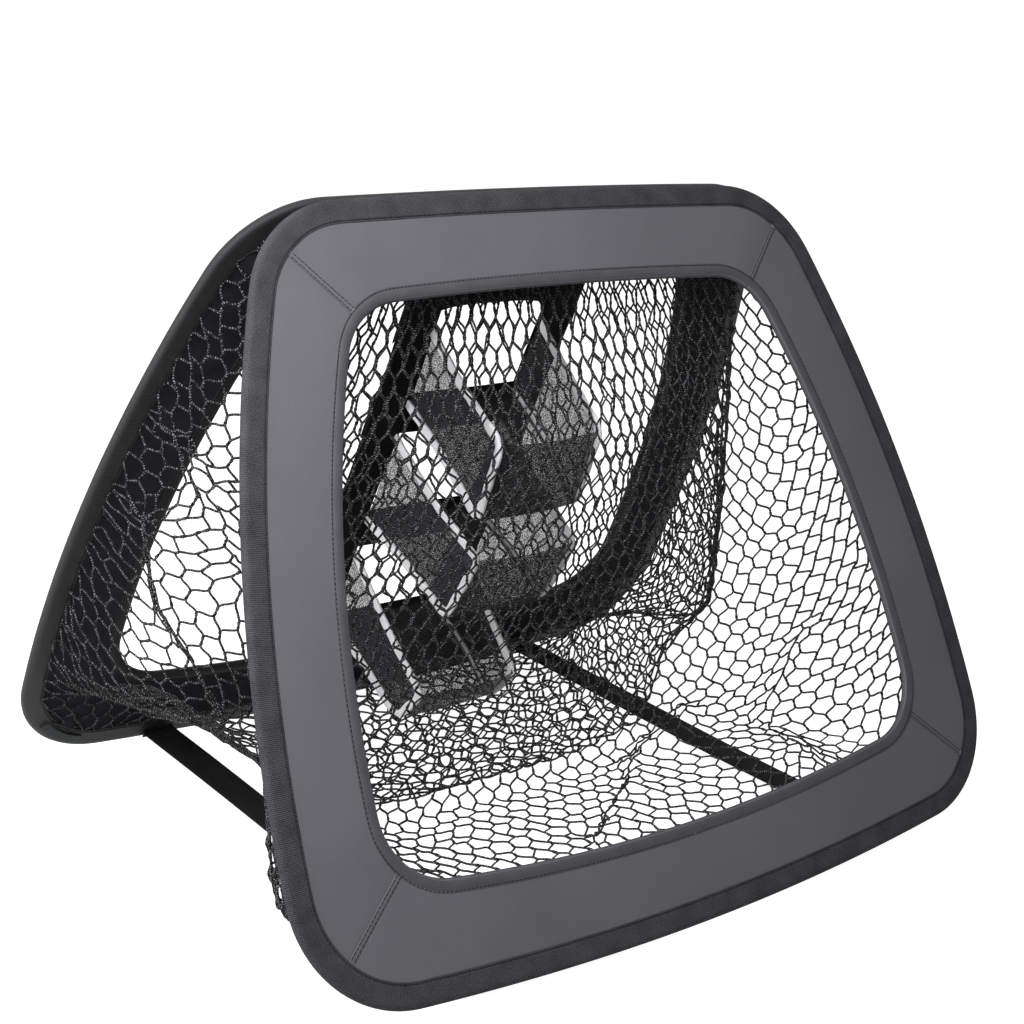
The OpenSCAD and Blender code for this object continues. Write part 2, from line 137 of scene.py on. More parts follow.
# The right-hand one of the two points where two circles meet
def meetRight(c1, r1, c2, r2):
    gap = np.linalg.norm(c2 - c1)
    a = (r1 * r1 - r2 * r2 + gap * gap) / (2 * gap)
    along = (c2 - c1) / gap
    across = np.array([-along[1], along[0]]) * math.sqrt(max(0, r1 * r1 - a * a))
    middle = c1 + along * a
    return middle + across if across[0] > 0 else middle - across


def heading(c, p):
    return math.atan2(p[1] - c[1], p[0] - c[0])


def arc(c, r, start, end, steps):
    t = np.linspace(start, end, steps + 1)[1:]
    return np.column_stack([c[0] + r * np.cos(t), c[1] + r * np.sin(t)])


def edgeArcs(bows):
    return (arcThrough(topRight, flip(topRight), bows[0]), arcThrough(lowRight, topRight, bows[1]),
            arcThrough(flip(lowRight), lowRight, bows[2]))


# Coarse steps of the five arcs from the bottom middle to the top middle
arcSteps = (4, 4, 6, 4, 3)
cornerMiddles = (arcSteps[0] + arcSteps[1] // 2, sum(arcSteps[:3]) + arcSteps[3] // 2)
fineness = 12  # steps of an outline are this many times the coarse ones


# A closed line that starts at the bottom middle and goes up its right-hand side first
def outline(bows, insets, corner, inset, fine):
    arcs = edgeArcs(bows)
    (top, topR), (side, sideR), (low, lowR) = (
        (centre, radius - shift - inset) for (centre, radius), shift in zip(arcs, insets))
    r = corner - inset
    upper = meetRight(top, topR - r, side, sideR - r)
    lower = meetRight(low, lowR - r, side, sideR - r)
    pieces = (
        (low, lowR, -math.pi / 2, heading(low, lower)),
        (lower, r, heading(low, lower), heading(side, lower)),
        (side, sideR, heading(side, lower), heading(side, upper)),
        (upper, r, heading(side, upper), heading(top, upper)),
        (top, topR, heading(top, upper), math.pi / 2),
    )
    half = np.vstack([[[0, low[1] - lowR]]] + [arc(*p, n * fine) for p, n in zip(pieces, arcSteps)])
    return np.vstack([half, flip(half[-2:0:-1])])


def rim(inset, fine=fineness):
    return outline(panel["bows"], (0, 0, 0), panel["corner"], inset, fine)


def mouth(inset):
    return outline(window["bows"], windowInsets, window["corner"], inset, fineness)


# Directions in panel space, turned to how they point in the world
def turned(ways, side):
    x, y, z = ways[..., 0], ways[..., 1], ways[..., 2]
    return np.stack([x, side * (z * leanCos - y * leanSin), y * leanCos + z * leanSin], -1)


def toWorld(points, side):
    return turned(points, side) + np.array([0, 0, hingeZ])


def directions(side):
    return tuple(turned(way, side) for way in np.eye(3))


def lengths(line):
    return np.concatenate([[0], np.cumsum(np.linalg.norm(np.diff(line, axis=0), axis=1))])


def resample(line, count):
    along = lengths(line)
    want = np.linspace(0, along[-1], count)
    return np.column_stack([np.interp(want, along, column) for column in line.T])


def unit(v):
    return v / np.maximum(np.linalg.norm(v, axis=-1, keepdims=True), 1e-12)


def addMesh(name, points, faces, uvs, finish, body):
    mesh = bpy.data.meshes.new(name)
    faces = np.asarray(faces)
    corners = faces.shape[1]
    mesh.vertices.add(len(points))
    mesh.vertices.foreach_set("co", np.asarray(points, np.float32).ravel())
    mesh.loops.add(faces.size)
    mesh.loops.foreach_set("vertex_index", faces.astype(np.int32).ravel())
    mesh.polygons.add(len(faces))
    mesh.polygons.foreach_set("loop_start", np.arange(0, faces.size, corners, dtype=np.int32))
    mesh.polygons.foreach_set("use_smooth", np.full(len(faces), True))
    layer = mesh.uv_layers.new(name="length")
    layer.data.foreach_set("uv", np.asarray(uvs, np.float32).ravel())
    mesh.update(calc_edges=True)
    mesh.materials.append(finish)
    piece = bpy.data.objects.new(name, mesh)
    bpy.context.scene.collection.objects.link(piece)
    if body:
        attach(piece, body)
    return piece


# Quads of a grid of points, and the row and column of each of their corners
def gridFaces(rows, columns, closeRows=False, closeColumns=False):
    r = np.arange(rows if closeRows else rows - 1)
    c = np.arange(columns if closeColumns else columns - 1)
    r, c = (a.ravel() for a in np.meshgrid(r, c, indexing="ij"))
    cells = np.stack([np.stack([r, c], -1), np.stack([r, c + 1], -1),
                      np.stack([r + 1, c + 1], -1), np.stack([r + 1, c], -1)], 1)
    return (cells[..., 0] % rows) * columns + cells[..., 1] % columns, cells


# One closed tube round a loop: profile holds (inset, z) points, and loop(inset) the line at each
def addSweep(name, loop, profile, side, finish, wave):
    lines = [loop(p[0]) for p in profile]
    rows, columns = len(profile), len(lines[0])
    points = np.zeros((rows, columns, 3))
    for k, (line, p) in enumerate(zip(lines, profile)):
        points[k, :, :2] = line
        points[k, :, 2] = p[1]
    points[..., 2] += wave(points)
    along = lengths(np.vstack([lines[0], lines[0][:1]]))
    around = lengths(np.vstack([profile, profile[:1]]))
    faces, cells = gridFaces(rows, columns, True, True)
    if side > 0:
        faces, cells = faces[:, ::-1], cells[:, ::-1]
    uvs = np.stack([along[cells[..., 1]], around[cells[..., 0]]], -1)
    placed = toWorld(points, side).reshape(-1, 3)
    placed[:, 2] = np.maximum(placed[:, 2], 0)  # the foot is pressed flat by what it stands on
    return addMesh(name, placed, faces, uvs, finish, bodyOf[side])


# A thin slab between two grids of points in world space, with its four edges closed
def addSlab(name, upper, lower, uv, finish, body, inward=False):
    rows, columns = upper.shape[:2]
    faces = gridFaces(rows, columns)[0]
    count = rows * columns
    ids = np.arange(count).reshape(rows, columns)
    border = np.concatenate([ids[0, :-1], ids[:-1, -1], ids[-1, :0:-1], ids[:0:-1, 0]])
    after = np.roll(border, -1)
    wall = np.stack([border, border + count, after + count, after], 1)
    allFaces = np.vstack([faces, faces[:, ::-1] + count, wall])
    uvs = uv.reshape(-1, 2)[allFaces % count]
    if inward:
        allFaces, uvs = allFaces[:, ::-1], uvs[:, ::-1]
    points = np.vstack([upper.reshape(-1, 3), lower.reshape(-1, 3)])
    return addMesh(name, points, allFaces, uvs, finish, body)


flatProfile = np.array([
    (-1, 0), (-0.99, 0.6), (-0.95, 0.95), (-0.6, 1), (-0.2, 1), (0.2, 1), (0.6, 1), (0.95, 0.95),
    (0.99, 0.6), (1, 0), (0.99, -0.6), (0.95, -0.95), (0.6, -1), (0.2, -1), (-0.2, -1), (-0.6, -1),
    (-0.95, -0.95), (-0.99, -0.6),
])


# The skin of a flat tape along a path, given the way across it and the way that it faces
def tapeSkin(path, across, face, width, thick):
    half = np.broadcast_to(np.asarray(width) / 2, (len(path),))[:, None, None]
    across, face = (np.broadcast_to(way, path.shape)[:, None] for way in (across, face))
    a, b = flatProfile[None, :, :1], flatProfile[None, :, 1:]
    points = path[:, None] + across * a * half + face * b * (thick / 2)
    faces, cells = gridFaces(*points.shape[:2], False, True)
    over = np.append(flatProfile[:, 0], flatProfile[0, 0])
    return points, faces, cells, lengths(path), over


def addTape(name, path, across, face, width, thick, finish, body):
    points, faces, cells, along, over = tapeSkin(path, across, face, width, thick)
    over = over * float(np.mean(width)) / 2
    rows, columns = points.shape[:2]
    uvs = np.stack([along[cells[..., 0]], over[cells[..., 1]]], -1)
    # each end is closed by a strip of quads across the profile
    strips = np.array([[0, 1, columns - 1, columns - 1]] + [
        [k, k + 1, columns - k - 1, columns - k] for k in range(1, columns // 2)])
    ends = np.vstack([strips, strips[:, ::-1] + (rows - 1) * columns])
    endUvs = np.stack([np.where(ends < columns, 0, along[-1]), over[ends % columns]], -1)
    return addMesh(name, points.reshape(-1, 3), np.vstack([faces, ends]), np.concatenate([uvs, endUvs]),
                   finish, body)


# Many thin round threads at once: paths is (count, points, 3), with a surface normal at each point
def threadArrays(paths, normals, radii, sides):
    count, steps = paths.shape[:2]
    tangent = unit(np.gradient(paths, axis=1))
    across = unit(np.cross(tangent, normals))
    lift = np.cross(across, tangent)
    turn = np.arange(sides) * 2 * math.pi / sides
    radii = np.broadcast_to(radii, (count, steps))[..., None, None]
    cosTurn, sinTurn = np.cos(turn)[None, None, :, None], np.sin(turn)[None, None, :, None]
    points = paths[:, :, None] + (across[:, :, None] * cosTurn + lift[:, :, None] * sinTurn) * radii
    faces, cells = gridFaces(steps, sides, False, True)
    offsets = np.arange(count)[:, None, None] * steps * sides
    stretches = np.linalg.norm(np.diff(paths, axis=1), axis=2)
    along = np.concatenate([np.zeros((count, 1)), np.cumsum(stretches, 1)], 1)
    around = np.broadcast_to(cells[..., 1] / sides, (count,) + cells.shape[:2])
    uvs = np.stack([along[:, cells[..., 0]], around], -1).reshape(-1, 4, 2)
    return points.reshape(-1, 3), (faces[None] + offsets).reshape(-1, 4), uvs


threadSides = 4


def addThreads(name, groups, finish, body):
    allPoints, allFaces, allUvs, count = [], [], [], 0
    for paths, normals, radii in groups:
        points, faces, uvs = threadArrays(paths, normals, radii, threadSides)
        allPoints.append(points)
        allFaces.append(faces + count)
        allUvs.append(uvs)
        count += len(points)
    return addMesh(name, np.vstack(allPoints), np.vstack(allFaces), np.concatenate(allUvs),
                   finish, body)


stitch = {
    "length": 0.0027, "pitch": 0.0030, "radius": 0.00028, "lift": 0.00014,
    "rise": (-1.4, 0.7, 1, 0.7, -1.4), "taper": (0.55, 1, 1, 1, 0.55),
}


# Stitches along a line of points that lies on a surface
def stitchPaths(line, normal):
    along = lengths(line)
    centres = np.arange(stitch["pitch"] / 2, along[-1] - stitch["length"] / 2, stitch["pitch"])
    want = centres[:, None] + np.linspace(-0.5, 0.5, len(stitch["rise"])) * stitch["length"]
    paths = np.stack([np.interp(want, along, line[:, k]) for k in range(3)], -1)
    normals = np.broadcast_to(normal, paths.shape)
    paths = paths + normals * (np.array(stitch["rise"]) * stitch["lift"])[None, :, None]
    return paths, normals, np.broadcast_to(np.array(stitch["taper"]) * stitch["radius"], paths.shape[:2])


# Stitches all round a closed line, on the outer face at highZ and on the inner one at lowZ
def addRoundStitches(name, line, highZ, lowZ, side):
    groups = []
    for z, out in ((highZ, 1), (lowZ, -1)):
        ring = toWorld(np.column_stack([line, np.full(len(line), z)]), side)
        groups.append(stitchPaths(np.vstack([ring, ring[:1]]), directions(side)[2] * out))
    addThreads(name, groups, finishes["thread"], bodyOf[side])


def srgb(code):
    values = [int(code[k:k + 2], 16) / 255 for k in (1, 3, 5)]
    return tuple(v / 12.92 if v < 0.04045 else ((v + 0.055) / 1.055) ** 2.4 for v in values) + (1,)


class Finish:
    def __init__(self, name, roughness, **sockets):
        self.material = bpy.data.materials.new(name)
        self.material.use_nodes = True
        self.tree = self.material.node_tree
        self.shader = self.tree.nodes["Principled BSDF"]
        self.shader.inputs["Roughness"].default_value = roughness
        for key, value in sockets.items():
            self.shader.inputs[key.replace("_", " ")].default_value = value
        self.coordinates = self.tree.nodes.new("ShaderNodeTexCoord")

    def node(self, kind, settings=None, **inputs):
        made = self.tree.nodes.new("ShaderNode" + kind)
        for key, value in (settings or {}).items():
            setattr(made, key, value)
        for key, value in inputs.items():
            spot = made.inputs[int(key[1:]) if key[1:].isdigit() else key.replace("_", " ")]
            if isinstance(value, bpy.types.NodeSocket):
                self.tree.links.new(value, spot)
            else:
                spot.default_value = value
        return made

    def place(self, source="UV", scale=(1, 1, 1), turn=0.0):
        mapped = self.node("Mapping", i0=self.coordinates.outputs[source])
        mapped.inputs["Scale"].default_value = scale
        mapped.inputs["Rotation"].default_value = (0, 0, turn)
        return mapped.outputs[0]

    def noise(self, where, scale, detail=2.0, rough=0.5):
        made = self.node("TexNoise", Vector=where, Scale=scale, Detail=detail, Roughness=rough)
        return made.outputs["Fac"]

    def math(self, how, a, b=0.0, clamp=False):
        return self.node("Math", {"operation": how, "use_clamp": clamp}, i0=a, i1=b).outputs[0]

    # A sine wave turned from -1 to 1 into 0 to 1
    def half(self, wave):
        return self.node("Math", {"operation": "MULTIPLY_ADD"}, i0=wave, i1=0.5, i2=0.5).outputs[0]

    # Ribs from 0 to 1 along one axis of a coordinate, with the given pitch
    def ribs(self, where, axis, pitch):
        split = self.node("SeparateXYZ", i0=where)
        return self.half(self.math("SINE", self.math("MULTIPLY", split.outputs[axis], 2 * math.pi / pitch)))

    def spread(self, value, low, high, toLow=0.0, toHigh=1.0):
        return self.node("MapRange", None, i0=value, i1=low, i2=high, i3=toLow, i4=toHigh).outputs[0]

    def mix(self, share, first, second):
        return self.node("Mix", {"data_type": "RGBA"}, i0=share, i6=first, i7=second).outputs[2]

    def colour(self, share, first, second):
        self.tree.links.new(self.mix(share, first, second), self.shader.inputs["Base Color"])

    def rough(self, socket):
        self.tree.links.new(socket, self.shader.inputs["Roughness"])

    def bump(self, height, distance, strength=1.0):
        made = self.node("Bump", Height=height, Distance=distance, Strength=strength)
        self.tree.links.new(made.outputs[0], self.shader.inputs["Normal"])


# Woven cloth with a little mottling: cross and over are the pitches of the ribs along the
# length and over the width
def wovenFinish(name, dark, light, cross, over, depth, roughness=0.85, gloss=0.12, slant=0.0,
                fleck=0.25, grain=2600):
    f = Finish(name, roughness, Specular_IOR_Level=gloss)
    where = f.place(turn=slant)
    weft, warp = f.ribs(where, 0, cross), f.ribs(where, 1, over)
    weave = f.math("MULTIPLY", weft, f.spread(warp, 0, 1, 0.55, 1))
    fuzz = f.spread(f.noise(f.place(), grain, 3, 0.7), 0.3, 0.7)
    cloud = f.noise(f.place(), 55, 3, 0.55)
    tone = f.math("ADD", f.math("MULTIPLY", weave, 0.6), f.math("MULTIPLY", fuzz, fleck * 1.3))
    tone = f.math("ADD", tone, f.spread(cloud, 0.3, 0.7, -0.14, 0.14), clamp=True)
    f.colour(tone, srgb(dark), srgb(light))
    f.bump(f.math("ADD", weave, f.math("MULTIPLY", fuzz, 0.35)), depth)
    return f.material


# Smooth coated cloth with a fine pebbled grain and a few rubbed spots
def leatherFinish(name, base, light, worn):
    f = Finish(name, 0.46, Specular_IOR_Level=0.15)
    where = f.place()
    pebbles = f.node("TexVoronoi", {"feature": "SMOOTH_F1"}, Vector=where, Scale=620.0, Smoothness=0.7)
    fine = f.noise(where, 1500, 3, 0.6)
    broad = f.spread(f.noise(where, 9, 4, 0.55), 0.3, 0.7, 0.1, 0.75)
    tone = f.math("ADD", broad, f.math("MULTIPLY", fine, 0.22), clamp=True)
    dust = f.spread(f.noise(where, 210, 5, 0.75), 0.62, 0.82, 0.0, 0.30)
    f.colour(dust, f.mix(tone, srgb(base), srgb(light)), srgb(worn))
    rounds = f.math("MULTIPLY", pebbles.outputs["Distance"], 0.8)
    grain = f.math("ADD", rounds, f.math("MULTIPLY", fine, 0.5))
    f.rough(f.spread(grain, 0.2, 0.9, 0.40, 0.56))
    f.bump(grain, 0.00012, 0.8)
    return f.material


# Twisted black twine with painted highlights: pale flecks where the strands catch the light
def twineFinish(name, dark, pale, share, lay=0.0017):
    f = Finish(name, 0.7, Specular_IOR_Level=0.16)
    split = f.node("SeparateXYZ", i0=f.coordinates.outputs["UV"])
    slide = f.math("MULTIPLY", split.outputs[0], 2 * math.pi / lay)
    around = f.math("MULTIPLY", split.outputs[1], 2 * math.pi)
    strand = f.half(f.math("SINE", f.math("ADD", slide, around)))
    # painted highlight: pale specks along each strand's twist stand in for glints of light
    highlightSpecks = f.noise(f.coordinates.outputs["Object"], 620, 2, 0.8)
    lit = f.math("MULTIPLY", f.spread(highlightSpecks, 0.46, 0.58), f.spread(strand, 0.5, 0.8))
    f.colour(f.math("MULTIPLY", lit, share), srgb(dark), srgb(pale))
    f.bump(strand, 0.00035, 0.9)
    return f.material


# Fine see-through mesh: small uneven holes between dark and pale threads
def meshFinish(name, dark, light):
    f = Finish(name, 0.75, Specular_IOR_Level=0.2)
    where = f.place()
    holes = f.node("TexVoronoi", {"feature": "DISTANCE_TO_EDGE"}, Vector=where, Scale=1500.0)
    gap = holes.outputs["Distance"]
    f.tree.links.new(f.spread(gap, 0.15, 0.25, 1.0, 0.0), f.shader.inputs["Alpha"])
    fleck, cloud = f.noise(where, 900, 2, 0.8), f.noise(where, 60, 3, 0.6)
    pale = f.math("MULTIPLY", f.spread(fleck, 0.45, 0.65), f.spread(cloud, 0.35, 0.65, 0.25, 0.9))
    f.colour(pale, srgb(dark), srgb(light))
    f.bump(gap, 0.0003)
    return f.material


def steelFinish(name):
    f = Finish(name, 0.3, Metallic=1.0)
    streak = f.noise(f.place("Object", (40, 40, 900)), 3, 3, 0.6)
    rub = f.noise(f.place("Object"), 160, 3, 0.6)
    f.colour(f.math("MULTIPLY", streak, rub), srgb("#8f9194"), srgb("#d9dadc"))
    f.rough(f.spread(rub, 0.3, 0.7, 0.22, 0.42))
    f.bump(streak, 0.00005)
    return f.material


finishes = {
    "ribbed": wovenFinish("ribbedWebbing", "#0a0a0c", "#4b4b4f", 0.0011, 0.0009, 0.00028, gloss=0.1,
                          fleck=0.5, grain=1100),
    "blackRibbed": wovenFinish("blackWebbing", "#060608", "#242427", 0.0011, 0.0009, 0.00020, 0.55, 0.3),
    "leather": leatherFinish("leatherCloth", "#4c4c51", "#58585d", "#636368"),
    "cloth": wovenFinish("blackCloth", "#0a0a0c", "#37373d", 0.0008, 0.0008, 0.00012, slant=0.785),
    "trim": wovenFinish("trimTape", "#37373b", "#515155", 0.0007, 0.0012, 0.00005, 0.5, 0.15, fleck=0.1),
    "blackTrim": wovenFinish("blackTrim", "#08080a", "#212124", 0.0007, 0.0012, 0.00005, 0.6, 0.2),
    "net": twineFinish("netTwine", "#020203", "#98989d", 0.6),
    "mesh": meshFinish("fineMesh", "#0b0b0e", "#505156"),
    "piping": wovenFinish("lightPiping", "#cfd1d3", "#fafbfc", 0.0014, 0.0010, 0.00025, 0.8, 0.2),
    "target": wovenFinish("targetCloth", "#040405", "#18181b", 0.0013, 0.0009, 0.00022),
    "strap": wovenFinish("strapWebbing", "#050506", "#1c1c1f", 0.0017, 0.0021, 0.00040),
    "peg": wovenFinish("pegTape", "#070d0c", "#1c2727", 0.0010, 0.0010, 0.00025, 0.6, 0.25),
    "steel": steelFinish("springSteel"),
    "thread": twineFinish("sewingThread", "#101012", "#3c3c40", 0.4),
}
print("finishes:", len(finishes))

# The bound edge of each panel. Its skin is given as insets from the rim and shares of the
# panel's thickness: the fold is fullest over the spring wire and thins towards the stitches.
binding = {
    "width": 0.0164, "seam": 0.0147, "wave": (0.006, 0.00016), "stitchShare": 0.125,
    "stitchLift": 0.0003,
}
binding["skin"] = [
    (0.0, 0.5), (0.0003, 0.28), (0.0012, 0.11), (0.0026, 0.01), (0.0045, 0.0), (0.0070, 0.03),
    (0.0100, 0.055), (0.0130, 0.070), (0.0142, 0.085), (binding["seam"], 0.135), (0.0152, 0.10),
    (binding["width"] - 0.0003, 0.11), (binding["width"], 0.18),
]


def bindingProfile():
    w, t = binding["width"], panel["thick"]
    low = [(inset, share * t) for inset, share in binding["skin"]]
    high = [(inset, (1 - share) * t) for inset, share in binding["skin"][:0:-1]]
    slot = [(w, panel["slotHigh"]), (0.0035, panel["slotHigh"] - 0.0005), (0.0022, t / 2),
            (0.0035, panel["slotLow"] + 0.0005), (w, panel["slotLow"])]
    return np.array(low + slot[::-1] + high)


rippleWaves = 8


# Uneven cloth: a wave function made of seeded sines, with the given length and height
def ripple(scale, size, seed):
    turn = np.random.default_rng(seed).uniform(0, 2 * math.pi, rippleWaves)
    ways = np.random.default_rng(seed + 1).uniform(-1, 1, (rippleWaves, 2))

    def wave(points):
        total = 0
        for (wayX, wayY), start in zip(ways, turn):
            total = total + np.sin((points[..., 0] * wayX + points[..., 1] * wayY) / scale + start)
        return total / rippleWaves * size
    return wave


def addBinding(side):
    name = sideName[side] + "_binding"
    finish = finishes["ribbed" if side < 0 else "blackRibbed"]
    piece = addSweep(name + "_fold", rim, bindingProfile(), side, finish,
                     ripple(*binding["wave"], 5 + side))
    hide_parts(sideName[side] + "_binding")
    low = panel["thick"] * binding["stitchShare"] - binding["stitchLift"]
    addRoundStitches(name + "_stitches", rim(binding["seam"]), panel["thick"] - low, low, side)


for side in bodyOf:
    addBinding(side)
print("bindings done")

band = {
    "tuck": 0.008, "edge": 0.0002, "crown": 0.0007, "grid": (150, 16), "liningGrid": (90, 12),
    "puckers": ((0.016, 0.00075, 0), (0.040, 0.0010, 7)), "puckerShare": 0.6,
    "seamFade": 0.02, "puckerFade": 0.14, "puckerLeast": 0.35,
    "liningWaves": ((0.012, 0.0006, 60), (0.03, 0.0006, 63)),
}
trim = {
    "width": 0.0085, "wall": 0.0008, "lip": 0.0012, "seam": 0.0072, "groove": 0.0001,
    "stitchLift": 0.45, "wave": (0.008, 0.0001),
}
mitre = {"half": 0.0021, "rise": 0.00045, "stitch": 0.0013, "lap": 0.001, "above": 0.0003, "steps": 30}

# Where the mitres start at the window and end at the rim, for the two right-hand corners
sideShift = window["frame"][1] + window["bows"][1] - panel["bows"][1]
seamShift = {
    "topInner": (0.009, -0.018), "topOuter": (0.012, -0.007),
    "lowInner": (-0.006, 0.0), "lowOuter": (0.004, 0.0),
}
topSeam = (topRight - (sideShift, windowInsets[0]) + seamShift["topInner"],
           topRight + seamShift["topOuter"])
lowSeam = (lowRight + (-sideShift, windowInsets[2]) + seamShift["lowInner"],
           lowRight + seamShift["lowOuter"])
seams = {
    "bottomRight": lowSeam, "topRight": topSeam,
    "topLeft": [flip(p) for p in topSeam], "bottomLeft": [flip(p) for p in lowSeam],
}
bandEnds = {
    "right": ("bottomRight", "topRight"), "top": ("topRight", "topLeft"),
    "left": ("topLeft", "bottomLeft"), "bottom": ("bottomLeft", "bottomRight"),
}


# How far round a closed line, counted in its points, it crosses the ray from a to b
def crossing(line, a, b):
    way = unit(b - a)
    across = np.array([-way[1], way[0]])
    off = (line - a) @ across
    ahead = (line - a) @ way
    after = np.roll(off, -1)
    hits = np.where((off * after <= 0) & (ahead > -0.02))[0]
    k = hits[np.argmax(ahead[hits])]
    return k + off[k] / (off[k] - after[k] + 1e-15)


# The points of a closed line at such places, up to twice round
def pointsAt(line, where):
    closed = np.vstack([line, line, line[:1]])
    return np.stack([np.interp(where, np.arange(len(closed)), closed[:, k]) for k in range(2)], -1)


def stretch(line, start, end, count):
    if end <= start:
        end += len(line)
    where = np.concatenate([[start], np.arange(math.floor(start) + 1, math.ceil(end)), [end]])
    return resample(pointsAt(line, where), count)


def bandGrid(which, steps, rows):
    lines = []
    for line in (rim(band["tuck"]), mouth(band["edge"])):
        start, end = (crossing(line, *seams[k]) for k in bandEnds[which])
        lines.append(stretch(line, start, end, steps))
    t = np.linspace(0, 1, rows)[:, None, None]
    return lines[0][None] * (1 - t) + lines[1][None] * t


# Soft puckers that run in from the seams and the corners
def bandRelief(grid, seed):
    rows, steps = grid.shape[:2]
    t, s = np.linspace(0, 1, rows)[:, None], np.linspace(0, 1, steps)[None]
    crown = np.sin(math.pi * t) ** 0.6 * band["crown"]
    ends = np.exp(-s / band["seamFade"]) + np.exp(-(1 - s) / band["seamFade"])
    wide = sum(ripple(scale, size, seed + k)(grid) for scale, size, k in band["puckers"])
    least = band["puckerLeast"]
    near = least + (1 - least) * np.exp(-np.minimum(s, 1 - s) / band["puckerFade"])
    puckers = wide * near * np.sin(math.pi * t) ** 0.5 * band["puckerShare"]
    return crown * (1 - 0.8 * np.minimum(ends, 1)) + puckers


def addBands(side):
    for k, which in enumerate(bandEnds):
        grid = bandGrid(which, *band["grid"])
        top = panel["slotHigh"] + bandRelief(grid, 20 + k + 5 * side)
        upper = np.dstack([grid, top])
        lower = np.dstack([grid, np.full(grid.shape[:2], panel["liningTop"])])
        name = f"{sideName[side]}_{which}_band"
        piece = addSlab(name, toWorld(upper, side), toWorld(lower, side), grid, finishes["leather"],
                        bodyOf[side], side > 0)
        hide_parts(f"{sideName[side]}_band_{which}")


def addLining(side):
    grid = np.concatenate([bandGrid(which, *band["liningGrid"])[:, :-1] for which in bandEnds], 1)
    grid = np.concatenate([grid, grid[:, :1]], 1)
    t = np.sin(math.pi * np.linspace(0, 1, grid.shape[0]))[:, None]
    wave = sum(ripple(scale, size, k + side)(grid) for scale, size, k in band["liningWaves"]) * t
    lower = np.dstack([grid, np.full(grid.shape[:2], panel["slotLow"]) + wave])
    upper = np.dstack([grid, np.full(grid.shape[:2], panel["liningTop"] - 0.0001)])
    piece = addSlab(sideName[side] + "_lining_cloth", toWorld(upper, side), toWorld(lower, side), grid,
                    finishes["cloth"], bodyOf[side], side > 0)
    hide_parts(sideName[side] + "_lining")


# The tape folds over the window's edge and is sewn down in a narrow groove
def trimProfile():
    high, low = panel["slotHigh"], panel["slotLow"]
    wall, lip, seam = trim["wall"], trim["lip"], -trim["seam"]
    rises = [
        (-trim["width"], 0.05), (-trim["width"] + 0.0004, 0.75), (seam - 0.0005, 0.8),
        (seam + trim["groove"], 0.25), (seam + 0.0008, 0.8), (-0.0048, 1.2), (-0.0034, 1.25),
        (-0.0020, 0.95), (-0.0008, 0.35), (0.0002, -0.55), (lip * 0.8, -1.6),
    ]
    front = [(inset, high + rise * wall) for inset, rise in rises]
    back = [(inset, high + low - z) for inset, z in front[::-1]]
    return np.array(front + [(lip, (high + low) / 2)] + back)


def addTrim(side):
    finish = finishes["trim" if side < 0 else "blackTrim"]
    piece = addSweep(sideName[side] + "_window_trim", mouth, trimProfile(), side, finish,
                     ripple(*trim["wave"], 80 + side))
    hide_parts(sideName[side] + "_inner_trim")
    lift = trim["stitchLift"] * trim["wall"]
    addRoundStitches(sideName[side] + "_trim_stitches", mouth(trim["groove"] - trim["seam"]),
                     panel["slotHigh"] + lift, panel["slotLow"] - lift, side)


# A raised strip over each mitre, sewn down on both sides
def addMitres(side):
    groups, normal = [], directions(side)[2]
    ends = (mouth(mitre["lap"] - trim["width"]), rim(binding["width"] - mitre["lap"]))
    for key, (a, b) in seams.items():
        start, end = (pointsAt(line, crossing(line, a, b)) for line in ends)
        t = np.linspace(0, 1, mitre["steps"])[:, None]
        height = np.full(mitre["steps"], panel["slotHigh"] + mitre["above"])
        path = toWorld(np.column_stack([start * (1 - t) + end * t, height]), side)
        way = unit(b - a)
        across = turned(np.array([-way[1], way[0], 0.0]), side)
        addTape(f"{sideName[side]}_mitre_{key}", path, across, normal, 2 * mitre["half"], 2 * mitre["rise"],
                finishes["leather"], bodyOf[side])
        for off in (-mitre["stitch"], mitre["stitch"]):
            groups.append(stitchPaths(path + across * off + normal * (mitre["rise"] + 0.00005), normal))
    addThreads(sideName[side] + "_mitre_stitches", groups, finishes["thread"], bodyOf[side])


for side in bodyOf:
    addBands(side)
    addLining(side)
    addTrim(side)
    addMitres(side)
print("frame cloth done")

ladder = {
    "legX": 0.0625, "legWidth": 0.032, "thick": 0.0015, "topBar": 0.021, "bar": 0.038,
    "targets": (0.081, 0.075, 0.073), "lap": 0.012, "clear": 0.0005, "hang": 0.009,
    "stitchIn": 0.0028, "legSteps": 90, "barGrid": (70, 14), "sag": 0.0012, "wave": (0.010, 0.0005),
}
legZ = panel["slotLow"] - trim["wall"] - ladder["thick"]
legInner = ladder["legX"] - ladder["legWidth"] / 2
legOuter = ladder["legX"] + ladder["legWidth"] / 2
mouthTops, mouthBottoms = [], []
level = windowTop - trim["lip"] - ladder["clear"] - ladder["topBar"]
for size in ladder["targets"]:
    mouthTops.append(level)
    mouthBottoms.append(level - size)
    level -= size + ladder["bar"]


